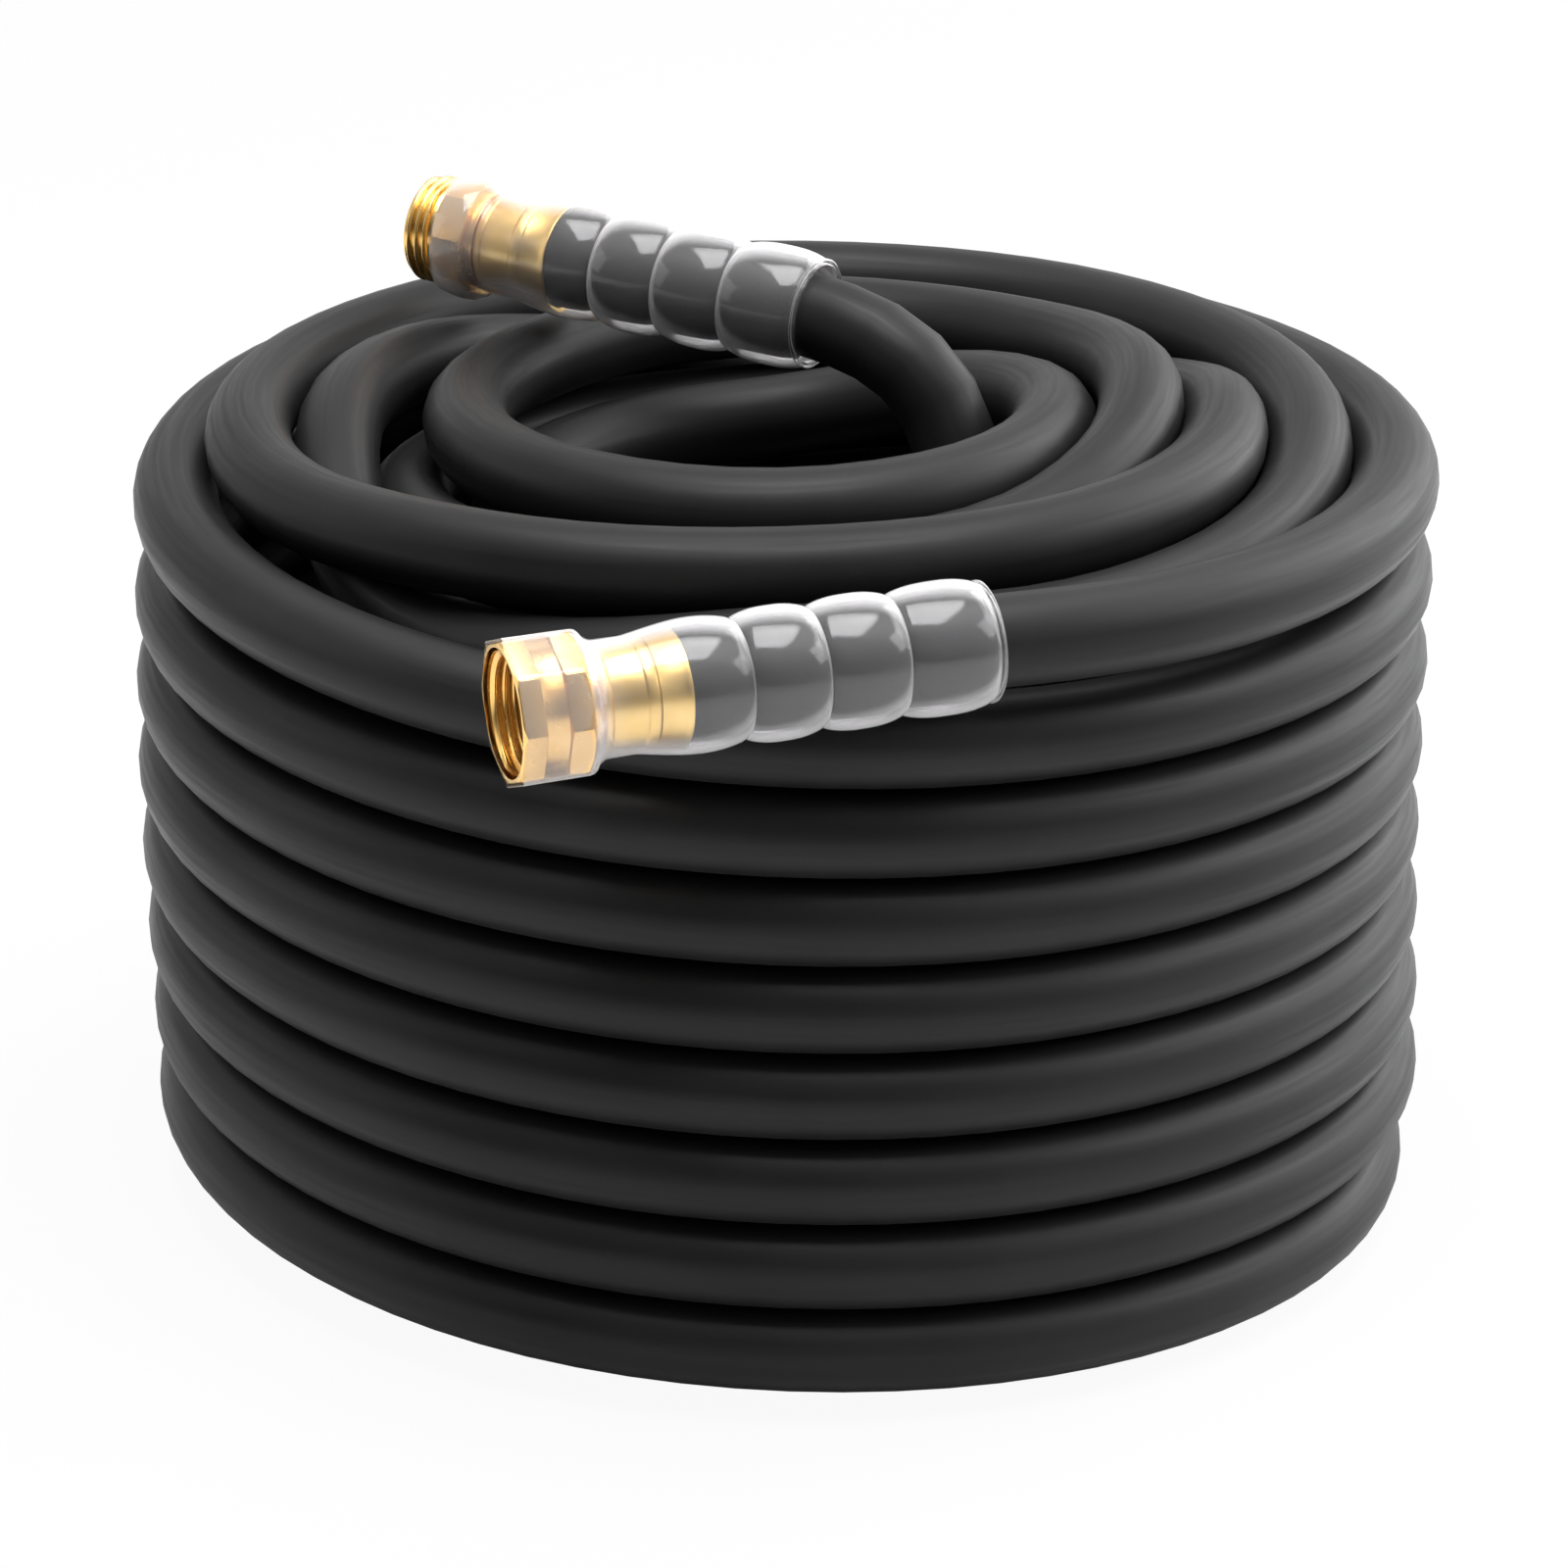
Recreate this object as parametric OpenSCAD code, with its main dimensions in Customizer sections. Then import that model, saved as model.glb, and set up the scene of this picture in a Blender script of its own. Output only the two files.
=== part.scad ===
// Coiled garden hose with two brass couplings.
// Millimetres, +Z up, origin on the floor at the axis of the coil.
// Turns are counted from the front (-Y), counter-clockwise seen from above.

/* [Hose] */
// Outer diameter of the hose
hose_od = 20.8; // [20.2:0.1:21.4]
// Bore of the hose
hose_bore = 15.9; // [13:0.1:16.4]
// Clear gap between two stacked turns
turn_gap = 0.45; // [0.42:0.01:1.2]

/* [Coil] */
// Radius of the outer winding, to the middle of the hose
coil_r = 147; // [140:1:165]
// Turns that the outer winding stacks up from the floor
outer_turns = 8.25; // [6.25:1:10.25]
// Clearance between the hose and the plain core
core_gap = 2.6; // [1.5:0.1:4]
// Spring-out of the front end from the winding
front_spring = 6.8; // [5:0.1:10]
// Lift of the first turn above the ones below
first_lift = 3.5; // [3:0.1:6]
// How far the turns that line the well lie inside the outer winding
well_step = 80.5; // [80:0.1:82]
// How far the outlet lead comes up inside the turns that line the well
lead_step = 23; // [22.5:0.1:24]
// Clearance between the open well and the outlet lead
well_clear = 0.6; // [0.4:0.1:2]
// How far the top of the plain core lies below the front end
core_drop = 35.85; // [35.5:0.05:38]
// How far the wall of the well ends below the front end
well_drop = 63.8; // [63.5:0.1:66]
// How far the outlet end lies above the front end
male_rise = 23.7; // [23.2:0.1:24.5]
// How far the lead's climb ends below the front end
climb_drop = 18.8; // [18:0.1:19.5]

/* [Female coupling] */
// Major radius of the internal thread
female_thread_r = 13.6; // [13.3:0.05:13.9]
// Depth of the internal thread
female_thread_len = 8; // [7:0.1:8]
// Across flats of the octagonal nut
nut_flats = 30; // [29.6:0.1:32]
// Length of the nut
nut_len = 16.2; // [15.6:0.1:18]
// Width of each flat band of the nut
nut_band = 5; // [3:0.1:6]
// Depth of the round groove between the flat bands
nut_groove = 0.7; // [0.3:0.1:0.9]
// Thickness of the nut's back wall
nut_wall = 3.3; // [2.5:0.1:4]
// Swing of the coupling from the picture plane
female_swing = 20; // [18:0.5:22]
// Droop of the coupling below level
female_droop = 2.5; // [1.5:0.1:3]

/* [Tailpieces] */
// Outer radius of the female tailpiece's flange
flange_r = 12.6; // [12.2:0.1:12.7]
// Thickness of the flange
flange_t = 2; // [1.8:0.1:2.4]
// Radius of the neck that the nut turns on
neck_r = 9; // [8.8:0.05:9.2]
// Running clearance of the nut on the neck, on the radius
nut_play = 0.05; // [0.03:0.01:0.1]
// Radius over the barbs of the stems
barb_r = 8.5; // [8.2:0.05:8.7]
// Depth of the valley between barbs
barb_cut = 0.5; // [0.2:0.05:0.6]
// Number of barbs on a stem
barbs = 5; // [3:1:7]
// Water bore of the tailpieces, as a radius
water_r = 6.5; // [5:0.1:7]
// Length of a stem behind the ferrule's front wall
stem_len = 20; // [16:0.5:24]

/* [Washer and flow disc] */
// Thickness of the sealing washer
washer_t = 2.7; // [2:0.1:3]
// Inner radius of the sealing washer
washer_bore_r = 8.2; // [6:0.1:9]
// Radius of the flow disc
disc_r = 9.5; // [9.3:0.1:10]
// Thickness of the flow disc
disc_t = 1.2; // [0.8:0.1:1.4]
// Radius of the hole in the flow disc
disc_hole_r = 1.5; // [1:0.1:3]

/* [Ferrules] */
// Length of a ferrule
ferrule_len = 20.9; // [18:0.1:24]
// Wall of a ferrule
ferrule_wall = 0.6; // [0.4:0.1:0.8]
// Thickness of a ferrule's front wall
ferrule_front = 1.2; // [0.8:0.1:1.8]
// Clearance between a ferrule and the hose, on the radius
ferrule_gap = 0.2; // [0.1:0.05:0.3]
// Height of the raised ring on a ferrule
ring_h = 0.35; // [0.1:0.05:0.4]

/* [Male coupling] */
// Major radius of the external thread
male_thread_r = 13.4; // [13.1:0.05:13.6]
// Length of the external thread
male_thread_len = 8.7; // [7:0.1:10]
// Across flats of the octagonal collar
collar_flats = 26.4; // [25.6:0.1:27.2]
// Length of the collar
collar_len = 8.2; // [7:0.1:10]
// Turn of the coupling about the vertical
male_swing = -27; // [-29:0.5:-25]
// Dip of the coupling from its mouth to the hose
male_dip = 2.8; // [2:0.1:3.2]

/* [Sleeves] */
// Wall of the clear sleeves over the hose
sleeve_wall = 1.1; // [0.8:0.1:1.3]
// Wall of the clear sleeves over the flats
film_wall = 0.8; // [0.6:0.05:1]
// Length of a coupling from its mouth to the sleeve's end
coupling_len = 110.5; // [108:0.5:116]
// Height of the four bulges over the hose
bulge_over = 4.4; // [3.9:0.1:4.5]
// Height of the three necks between the bulges over the hose
waist_over = 3.25; // [2.9:0.05:3.6]
// Height of the throat in front of the first bulge over the hose
throat_over = 2.5; // [2.4:0.05:2.8]
// Height of the open end over the hose
mouth_over = 2.5; // [2:0.1:3]

/* [Hidden] */
$fn = 64;
rubber = [0.10, 0.10, 0.11];
brass = [0.85, 0.66, 0.32];
clear_film = [0.86, 0.86, 0.88, 0.45];
sides = 6;
rings = 24;
hose_r = hose_od / 2;
bulge_r = hose_r + bulge_over;
waist_r = hose_r + waist_over;
throat_r = hose_r + throat_over;
mouth_r = hose_r + mouth_over;
pitch = hose_od + turn_gap;
// Route tables are drawn for this pitch and stretch with the real one.
drawn_pitch = 21.25;
grow = pitch / drawn_pitch;
in_z = hose_r + pitch * outer_turns;
in_t = 0.047;
tail_t = outer_turns + 0.5;
tail_in = 21.4 * grow;
core_r = coil_r - hose_r - core_gap;
core_h = in_z - core_drop * grow;
// Radius of the turns that line the well, and of the outlet lead inside them.
well_r = coil_r - well_step * grow;
lead_r = well_r - lead_step;
well_core_r = well_r + hose_r + 1.6;
well_wall_r = well_r - hose_r;
well_bore_r = lead_r - hose_r - well_clear;
well_top_z = in_z - well_drop * grow;
// The lead's points are drawn for this radius and follow the real one.
drawn_lead_r = 43.5;
lead_grow = lead_r / drawn_lead_r;
male_clock = 34;
tiny = 0.01;

// ---- routes -------------------------------------------------------------
function clamp01(x) = max(0, min(1, x));
function ease(x) = let(c = clamp01(x)) c * c * (3 - 2 * c);
function at(t, r, z) = [r * sin(360 * t), -r * cos(360 * t), z];

// Radius and height of the outer winding after t turns.
function outer_rad(t) = coil_r + front_spring * (1 - ease((t - in_t) / 0.2))
    - tail_in * ease((t - tail_t + 0.63) / 0.45);
function outer_z(t) = max(hose_r, in_z - pitch * t
    + first_lift * (1 - ease((t - 0.72) / 0.33))
    + 0.9 * (1 - ease((t - in_t) / 0.25)));

// Top turns: [turns, inset from the outer winding, rise above the front end].
TOP = [[0.5, 26, -22.7], [0.58, 31, -18.7], [0.62, 36.9, -11.6], [0.65, 39.5, -5.7],
    [0.7, 39.5, 0.8], [0.75, 38.6, 2], [0.775, 38.8, -4.4], [0.8, 36.1, -12.5],
    [0.85, 32, -19.2], [0.89, 27.5, -20.2], [0.93, 24, -17.2], [1, 20.6, -7.7],
    [1.1, 20.4, -6.4], [1.16, 20.2, -3.7], [1.2, 20.6, -1.4], [1.25, 20.6, 3.4],
    [1.3, 20.2, 4.8], [1.37, 20, 3.9], [1.5, 20, 1.3], [1.65, 18.5, 0.5],
    [1.72, 17.4, 0.9], [1.75, 17, 0.8], [1.83, 21, 0.1], [1.875, 27, 1.6],
    [1.915, 32.5, 2.3], [2, 38.5, 4.5], [2.11, 37, 7.3], [2.16, 38, 8.1],
    [2.2, 39.6, 8.1], [2.25, 41.7, 7.9], [2.375, 41, -13.7], [2.44, 46, -22.2],
    [2.5, 50.5, -24.7], [2.62, 53.6, -24.7], [2.7, 54, -20.7], [2.75, 55.5, -16.6],
    [2.78, 57.6, -15.9], [2.8, 58.3, -14.8], [3, 59, -2.4], [3.12, 58.2, -1.2],
    [3.16, 59.4, 6.1], [3.2, 60.7, 11.8], [3.25, 62, 14.5], [3.37, 57, 2.3],
    [3.5, 48, -2.7],
    [3.61, 57, -0.2], [3.75, 69.2, 1.8], [4, 76, 11.1], [4.1, 78.7, 9.8],
    [4.16, 81, 8.8], [4.2, 82, 7.8], [4.25, 82.6, 6.1], [4.39, well_step, -3.4],
    [4.5, well_step, -15.9], [4.6, well_step, -18.4], [4.75, well_step, -19.2],
    [5, well_step, -21.2], [5.25, well_step, -25.2], [5.4, well_step, -30.1],
    [5.5, well_step, -37.5], [5.6, well_step, -42.2], [5.7, well_step, -44.7],
    [5.75, well_step, -44.7]];
top_t0 = TOP[0][0];
top_t1 = TOP[len(TOP) - 1][0];

// Smooth curve through a table, column c at turn t.
function slope_at(s, i, c) =
    i == 0 ? (s[1][c] - s[0][c]) / (s[1][0] - s[0][0])
    : i == len(s) - 1 ? (s[i][c] - s[i - 1][c]) / (s[i][0] - s[i - 1][0])
    : let(a = s[i][0] - s[i - 1][0], b = s[i + 1][0] - s[i][0])
      ((s[i][c] - s[i - 1][c]) / a * b + (s[i + 1][c] - s[i][c]) / b * a) / (a + b);
function span_of(s, t, i = 0) =
    i >= len(s) - 2 || t < s[i + 1][0] ? i : span_of(s, t, i + 1);
function curve(s, t, c) =
    let(i = span_of(s, t), h = s[i + 1][0] - s[i][0], u = clamp01((t - s[i][0]) / h))
    (2 * u * u * u - 3 * u * u + 1) * s[i][c]
    + (u * u * u - 2 * u * u + u) * h * slope_at(s, i, c)
    + (3 * u * u - 2 * u * u * u) * s[i + 1][c]
    + (u * u * u - u * u) * h * slope_at(s, i + 1, c);
function top_rad(t) = coil_r - grow * curve(TOP, t, 1);
function top_z(t) = in_z + grow * curve(TOP, t, 2);

// Straight run of one diameter along the winding at turn t, forwards (+1) or back (-1).
function run_on(t, r, z, way) =
    at(t, r, z) + way * hose_od * [cos(360 * t), sin(360 * t), 0];

female_dir = [cos(female_swing) * cos(female_droop),
              sin(female_swing) * cos(female_droop), sin(female_droop)];
outer_start = at(in_t, outer_rad(in_t), outer_z(in_t));
outer_pts = concat(
    [outer_start, outer_start + hose_od * female_dir],
    [for (k = [3 : floor((tail_t - 0.04) * rings)])
        at(k / rings, outer_rad(k / rings), outer_z(k / rings))],
    [run_on(tail_t, outer_rad(tail_t), hose_r, -1), at(tail_t, outer_rad(tail_t), hose_r)]);
top_end_r = well_r - 2.5;
top_pts = concat(
    [at(top_t0, top_rad(top_t0), top_z(top_t0)),
     run_on(top_t0, top_rad(top_t0), top_z(top_t0), 1)],
    [for (k = [ceil((top_t0 + 0.06) * rings) : floor((top_t1 - 0.06) * rings)])
        at(k / rings, top_rad(k / rings), top_z(k / rings))],
    [run_on(top_t1, top_end_r, top_z(top_t1), -1), at(top_t1, top_end_r, top_z(top_t1))]);

// Outlet lead: it starts on the turn that lies on the floor of the well, climbs
// the wall and arches over to the male coupling.
// Climb: [turns, share of the climb]; arch: [x, y, rise above the front end].
CLIMB = [[-0.41, 0], [-0.36, 0.02], [-0.3, 0.08], [-0.24, 0.155], [-0.17, 0.26],
    [-0.1, 0.365], [0, 0.535], [0.1, 0.705], [0.2, 0.89], [0.25, 1]];
ARCH = [[43, 6, -9.8], [41, 8, -0.8], [38, 7, 7.7], [33.5, 5.5, 14.7], [28, 7, 19.2],
    [21.5, 12.5, 22.2], [14.5, 19, 23.2]];
lead_t0 = CLIMB[0][0];
lead_t1 = CLIMB[len(CLIMB) - 1][0];
lead_z0 = pitch + hose_r + well_clear;
lead_z1 = in_z - climb_drop;
function lead_z(t) = lead_z0 + (lead_z1 - lead_z0) * curve(CLIMB, t, 1);
male_end = [7.2 * lead_grow, 25.5 * lead_grow, in_z + male_rise];
male_dir = [cos(male_swing) * cos(male_dip), sin(male_swing) * cos(male_dip),
            -sin(male_dip)];
lead_pts = concat(
    [at(lead_t0, lead_r, lead_z0),
     at(lead_t0, lead_r, lead_z0) + 8 * [cos(360 * lead_t0), sin(360 * lead_t0), 0]],
    [for (k = [ceil((lead_t0 + 0.06) * rings) : lead_t1 * rings])
        at(k / rings, lead_r, lead_z(k / rings))],
    [for (p = ARCH) [p[0] * lead_grow, p[1] * lead_grow, in_z + p[2]]],
    [male_end + 4 * male_dir, male_end]);

// ---- tube sweep ---------------------------------------------------------
function unit(v) = v / norm(v);
function heading(p, i) =
    unit(p[min(i + 1, len(p) - 1)] - p[max(i - 1, 0)]);
function ring_at(p, i, r, n) =
    let(t = heading(p, i), u = unit(cross(t, [0, 0, 1])), v = cross(u, t))
    [for (k = [0 : n - 1]) p[i] + r * (cos(360 * k / n) * u + sin(360 * k / n) * v)];
// Rings of a tube whose run may stand upright: the frame is carried along.
function carried(p, n, i, u, out) =
    i == len(p) ? out
    : let(t = heading(p, i), w = unit(u - (u * t) * t), v = cross(w, t))
      carried(p, n, i + 1, w, concat(out, [[w, v]]));
module tube_from(rows, n) {
    last = len(rows) - 1;
    verts = [for (row = rows) each row];
    walls = [for (i = [0 : last - 1]) for (k = [0 : n - 1])
        let(a = i * n + k, b = i * n + (k + 1) % n, c = a + n, d = b + n)
        each [[a, b, d], [a, d, c]]];
    fans = [for (k = [1 : n - 2]) each [[0, k + 1, k], [last * n, last * n + k, last * n + k + 1]]];
    polyhedron(points = verts, faces = concat(walls, fans), convexity = 10);
}
module winding(p) {
    tube_from([for (i = [0 : len(p) - 1]) ring_at(p, i, hose_r, sides)], sides);
}
module free_tube(p, n) {
    t0 = heading(p, 0);
    fr = carried(p, n, 0, unit(cross(t0, [0, 0, 1])), []);
    tube_from([for (i = [0 : len(p) - 1])
        [for (k = [0 : n - 1])
            p[i] + hose_r * (cos(360 * k / n) * fr[i][0] + sin(360 * k / n) * fr[i][1])]], n);
}

// Least gap of the windings to themselves, measured on their points.
wound = concat([for (i = [0 : len(outer_pts) - 1]) [i, outer_pts[i]]],
               [for (i = [0 : len(top_pts) - 1]) [1000 + i, top_pts[i]]]);
least = min([for (a = wound) for (b = wound)
    if (b[0] - a[0] > 8) norm(a[1] - b[1])]);
echo(least_gap_between_turns = least - hose_od);
function route_len(p) = len(p) < 2 ? 0
    : norm(p[1] - p[0]) + route_len([for (i = [1 : len(p) - 1]) p[i]]);
echo(outer_winding_length = route_len(outer_pts), top_turns_length = route_len(top_pts),
     lead_length = route_len(lead_pts));

// ---- places of the two couplings, local z from the mouth to the hose ---
module at_female() {
    translate(outer_start - coupling_len * female_dir)
        rotate([0, 90 - female_droop, female_swing])
            children();
}
module at_male() {
    translate(male_end - coupling_len * male_dir)
        rotate([0, 90 + male_dip, male_swing])
            rotate([0, 0, male_clock])
                children();
}
module prism(flats, len) {
    cylinder(r = flats / 2 / cos(22.5), h = len, $fn = 8);
}
module ring(r_out, r_in, len) {
    difference() {
        cylinder(r = r_out, h = len);
        translate([0, 0, -1])
            cylinder(r = r_in, h = len + 2);
    }
}
module sector(r_in, r_out, z0, z1, from_t, to_t) {
    rotate([0, 0, 360 * from_t - 90])
        rotate_extrude(angle = 360 * (to_t - from_t))
            translate([r_in, z0])
                square([r_out - r_in, z1 - z0]);
}

// ---- stations along a coupling ------------------------------------------
chamber_r = flange_r + 0.2;
flange_gap = 0.1;
flange_back = nut_len - nut_wall - flange_gap;
flange_front = flange_back - flange_t;
ferrule_at = nut_len + 2.3;
hose_face = ferrule_at + ferrule_front + 1.3;
male_ferrule_at = male_thread_len + collar_len + 2.2;
male_hose_face = male_ferrule_at + ferrule_front + 1.3;
stem_bore_r = barb_r + 0.05;
ferrule_in = hose_r + ferrule_gap;
ferrule_out = ferrule_in + ferrule_wall;

// ---- hose ---------------------------------------------------------------
module hose_core() {
    tail_r = outer_rad(tail_t);
    riser_r = top_rad(top_t0);
    riser_z = top_z(top_t0);
    color(rubber) {
        difference() {
            rotate_extrude($fn = 96)
                polygon([[well_bore_r, 0], [core_r, 0], [core_r, core_h],
                         [well_core_r, core_h], [well_core_r, well_top_z],
                         [well_wall_r, well_top_z], [well_wall_r, pitch],
                         [well_bore_r, pitch]]);
            sector(tail_r - hose_r - 2, core_r + 5, -1, hose_od + 1.4,
                   tail_t - 0.55, tail_t);
        }
        // steps of packed hose that the wound tubes butt against
        sector(riser_r - hose_r, riser_r + hose_r, core_h - 1, riser_z + hose_r,
               top_t0 - 0.03, top_t0);
        sector(well_wall_r + 0.2, well_core_r + 1, well_top_z - 1,
               top_z(top_t1) + hose_r, top_t1, top_t1 + 0.07);
        sector(lead_r - hose_r, well_wall_r + 1, pitch - 1, lead_z0 + hose_r,
               lead_t0 - 0.08, lead_t0);
    }
}
module hose_outer_turns() {
    color(rubber)
        winding(outer_pts);
}
module hose_top_turns() {
    color(rubber)
        winding(top_pts);
}
module hose_outlet_lead() {
    color(rubber)
        free_tube(lead_pts, 10);
}
module straight_hose(from, to) {
    color(rubber)
        difference() {
            translate([0, 0, from])
                cylinder(r = hose_r, h = to - from);
            translate([0, 0, from - 1])
                cylinder(r = hose_bore / 2, h = to - from + 2);
            translate([0, 0, from - 1])
                cylinder(r = stem_bore_r, h = stem_len + 1);
        }
}
module hose_inlet_end() {
    at_female()
        straight_hose(hose_face, coupling_len);
}
module hose_outlet_end() {
    at_male()
        straight_hose(male_hose_face, coupling_len);
}

// ---- brass --------------------------------------------------------------
// Swivel nut: two octagonal bands with a round groove between them.
module swivel_nut() {
    color(brass)
        at_female()
            difference() {
                union() {
                    intersection() {
                        prism(nut_flats, nut_len);
                        rotate_extrude()
                            polygon([[0, 0], [nut_flats / 2 + 0.2, 0],
                                     [nut_flats / 2 + 2, 0.9], [nut_flats / 2 + 2, nut_band],
                                     [nut_flats / 2 - nut_groove, nut_band + 0.4],
                                     [nut_flats / 2 - nut_groove, nut_len - nut_band - 0.7],
                                     [nut_flats / 2 + 2, nut_len - nut_band - 0.3],
                                     [nut_flats / 2 + 2, nut_len - 1.1],
                                     [nut_flats / 2 - 0.3, nut_len], [0, nut_len]]);
                    }
                }
                translate([0, 0, -1])
                    cylinder(r = female_thread_r, h = female_thread_len + 1);
                translate([0, 0, female_thread_len - 1])
                    cylinder(r = chamber_r, h = nut_len - nut_wall - female_thread_len + 1);
                translate([0, 0, female_thread_len])
                    cylinder(r = neck_r + nut_play, h = nut_len);
            }
}
module barbed_stem(from, to) {
    step = (to - from) / barbs;
    rotate_extrude()
        polygon(concat([[water_r, from]],
            [for (i = [0 : barbs - 1]) each [[barb_r, from + i * step + 0.3],
                [barb_r - barb_cut, from + (i + 1) * step - 0.3]]],
            [[water_r, to]]));
}
module inlet_tailpiece() {
    color(brass)
        at_female() {
            difference() {
                union() {
                    translate([0, 0, flange_front])
                        cylinder(r = flange_r, h = flange_t);
                    translate([0, 0, flange_front + tiny])
                        cylinder(r = neck_r, h = ferrule_at + ferrule_front - flange_front);
                }
                translate([0, 0, flange_front - 1])
                    cylinder(r = water_r, h = ferrule_at + 2 * ferrule_front - flange_front);
                translate([0, 0, flange_front - 1])
                    cylinder(r = disc_r + 0.1, h = disc_t + 1);
            }
            barbed_stem(ferrule_at + ferrule_front - 0.5, ferrule_at + stem_len);
        }
}
module inlet_washer() {
    color([0.12, 0.12, 0.12])
        at_female()
            translate([0, 0, flange_front - washer_t])
                ring(flange_r, washer_bore_r, washer_t);
}
module flow_disc() {
    color([0.9, 0.9, 0.88])
        at_female()
            translate([0, 0, flange_front])
                ring(disc_r, disc_hole_r, disc_t);
}
// Crimped ferrule: front wall, fine ring, raised ring and flared lip.
module ferrule(from) {
    len = ferrule_len;
    lip = ferrule_out + 0.4;
    hub = neck_r + nut_play;
    translate([0, 0, from])
        rotate_extrude()
            polygon([[hub, 0], [ferrule_out - 1.2, 0], [ferrule_out - 0.3, 0.4],
                     [ferrule_out, 1.3], [ferrule_out, 2.2], [ferrule_out - 0.25, 2.5],
                     [ferrule_out, 2.8], [ferrule_out, 10.6],
                     [ferrule_out + ring_h, 11.1], [ferrule_out + ring_h, 13.3],
                     [ferrule_out, 13.8], [ferrule_out, len - 1.8], [lip, len - 0.6],
                     [lip, len], [ferrule_in, len], [ferrule_in, ferrule_front],
                     [hub, ferrule_front]]);
}
module inlet_ferrule() {
    color(brass)
        at_female()
            ferrule(ferrule_at);
}
module outlet_ferrule() {
    color(brass)
        at_male()
            ferrule(male_ferrule_at);
}
module outlet_tailpiece() {
    collar_end = male_thread_len + collar_len;
    color(brass)
        at_male() {
            difference() {
                union() {
                    cylinder(r = male_thread_r, h = male_thread_len);
                    translate([0, 0, male_thread_len])
                        intersection() {
                            prism(collar_flats, collar_len);
                            rotate_extrude()
                                polygon([[0, 0], [collar_flats / 2, 0],
                                         [collar_flats / 2 + 1.4, 0.8],
                                         [collar_flats / 2 + 1.4, collar_len - 0.9],
                                         [collar_flats / 2 - 0.3, collar_len],
                                         [0, collar_len]]);
                        }
                    translate([0, 0, collar_end - tiny])
                        cylinder(r = neck_r, h = male_ferrule_at + ferrule_front - collar_end);
                }
                translate([0, 0, -1])
                    cylinder(r = water_r, h = male_ferrule_at + 10);
                translate([0, 0, -1])
                    cylinder(r = water_r + 2.6, h = 2.2);
            }
            barbed_stem(male_ferrule_at + ferrule_front - 0.5, male_ferrule_at + stem_len);
        }
}

// ---- clear sleeves -------------------------------------------------------
// Outline of the round part, from the shoulder to the open end; inset by d.
waists = [28, 53.6, 71.3, 90, 112];
function bulge(a, b, d) = let(n = 8)
    [for (i = [1 : n - 1]) let(u = i / n, s = 1 - pow(abs(2 * u - 1), 2.6))
        [waist_r + (bulge_r - waist_r) * s - d, a + (b - a) * u]];
function first_bulge(a, b, d) = let(n = 8)
    [for (i = [1 : n - 1]) let(u = i / n, r0 = throat_r + (waist_r - throat_r) * u)
        [r0 + (bulge_r - r0) * pow(sin(180 * pow(u, 1.45)), 0.8) - d, a + (b - a) * u]];
function last_bulge(a, b, d) = let(n = 8)
    [for (i = [1 : n - 1]) let(u = i / n, s = 1 - pow(abs(2 * u - 1), 2.6),
        r0 = u < 0.5 ? waist_r : mouth_r)
        [r0 + (bulge_r - r0) * s - d, a + (b - a) * u]];
function body_outline(d) = let(k = coupling_len / waists[4], w = [for (x = waists) x * k])
    concat([[throat_r - d, w[0]]], first_bulge(w[0], w[1], d), [[waist_r - d, w[1]]],
        bulge(w[1], w[2], d), [[waist_r - d, w[2]]], bulge(w[2], w[3], d),
        [[waist_r - d, w[3]]], last_bulge(w[3], w[4], d), [[mouth_r - d, w[4]]]);
// Revolved skin: corners of the flats, shoulder, throat, then the bulges.
module skin(corner, flats_end, shoulder_end, d, over) {
    rotate_extrude()
        polygon(concat([[0, -over], [corner, -over], [corner, flats_end - 2.4],
            [corner - 0.5, flats_end - 1], [corner - 1.6, flats_end + 0.5],
            [(corner + throat_r - d) / 2 - 0.4, flats_end + (shoulder_end - flats_end) * 0.5],
            [throat_r - d + 0.35, flats_end + (shoulder_end - flats_end) * 0.82],
            [throat_r - d, shoulder_end]],
            body_outline(d),
            [[mouth_r - d, coupling_len + over], [0, coupling_len + over]]));
}
module sleeve(flats, nut_end, from) {
    inner = flats + 0.2;
    outer = inner + 2 * film_wall;
    corner = flats / 2 / cos(22.5);
    difference() {
        intersection() {
            skin(corner + film_wall + 0.3, nut_end + film_wall - 0.8, nut_end + 4.2, 0, 0);
            union() {
                translate([0, 0, from])
                    prism(outer, nut_end + 1.2 - from);
                translate([0, 0, nut_end - 1])
                    cylinder(r = 2 * bulge_r, h = coupling_len);
            }
        }
        intersection() {
            skin(corner + 0.3, nut_end + 0.4, nut_end + 4, sleeve_wall, 1);
            union() {
                translate([0, 0, -1])
                    prism(inner, nut_end + 1.3);
                translate([0, 0, nut_end + 0.2])
                    cylinder(r = 2 * bulge_r, h = coupling_len + 2);
            }
        }
    }
}
module inlet_sleeve() {
    color(clear_film)
        at_female()
            sleeve(nut_flats, nut_len, 0.3);
}
module outlet_sleeve() {
    color(clear_film)
        at_male()
            sleeve(collar_flats, male_thread_len + collar_len, male_thread_len + 0.3);
}

hose_core();
hose_outer_turns();
hose_top_turns();
hose_outlet_lead();
hose_inlet_end();
hose_outlet_end();
swivel_nut();
inlet_tailpiece();
inlet_washer();
flow_disc();
inlet_ferrule();
inlet_sleeve();
outlet_tailpiece();
outlet_ferrule();
outlet_sleeve();
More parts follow.
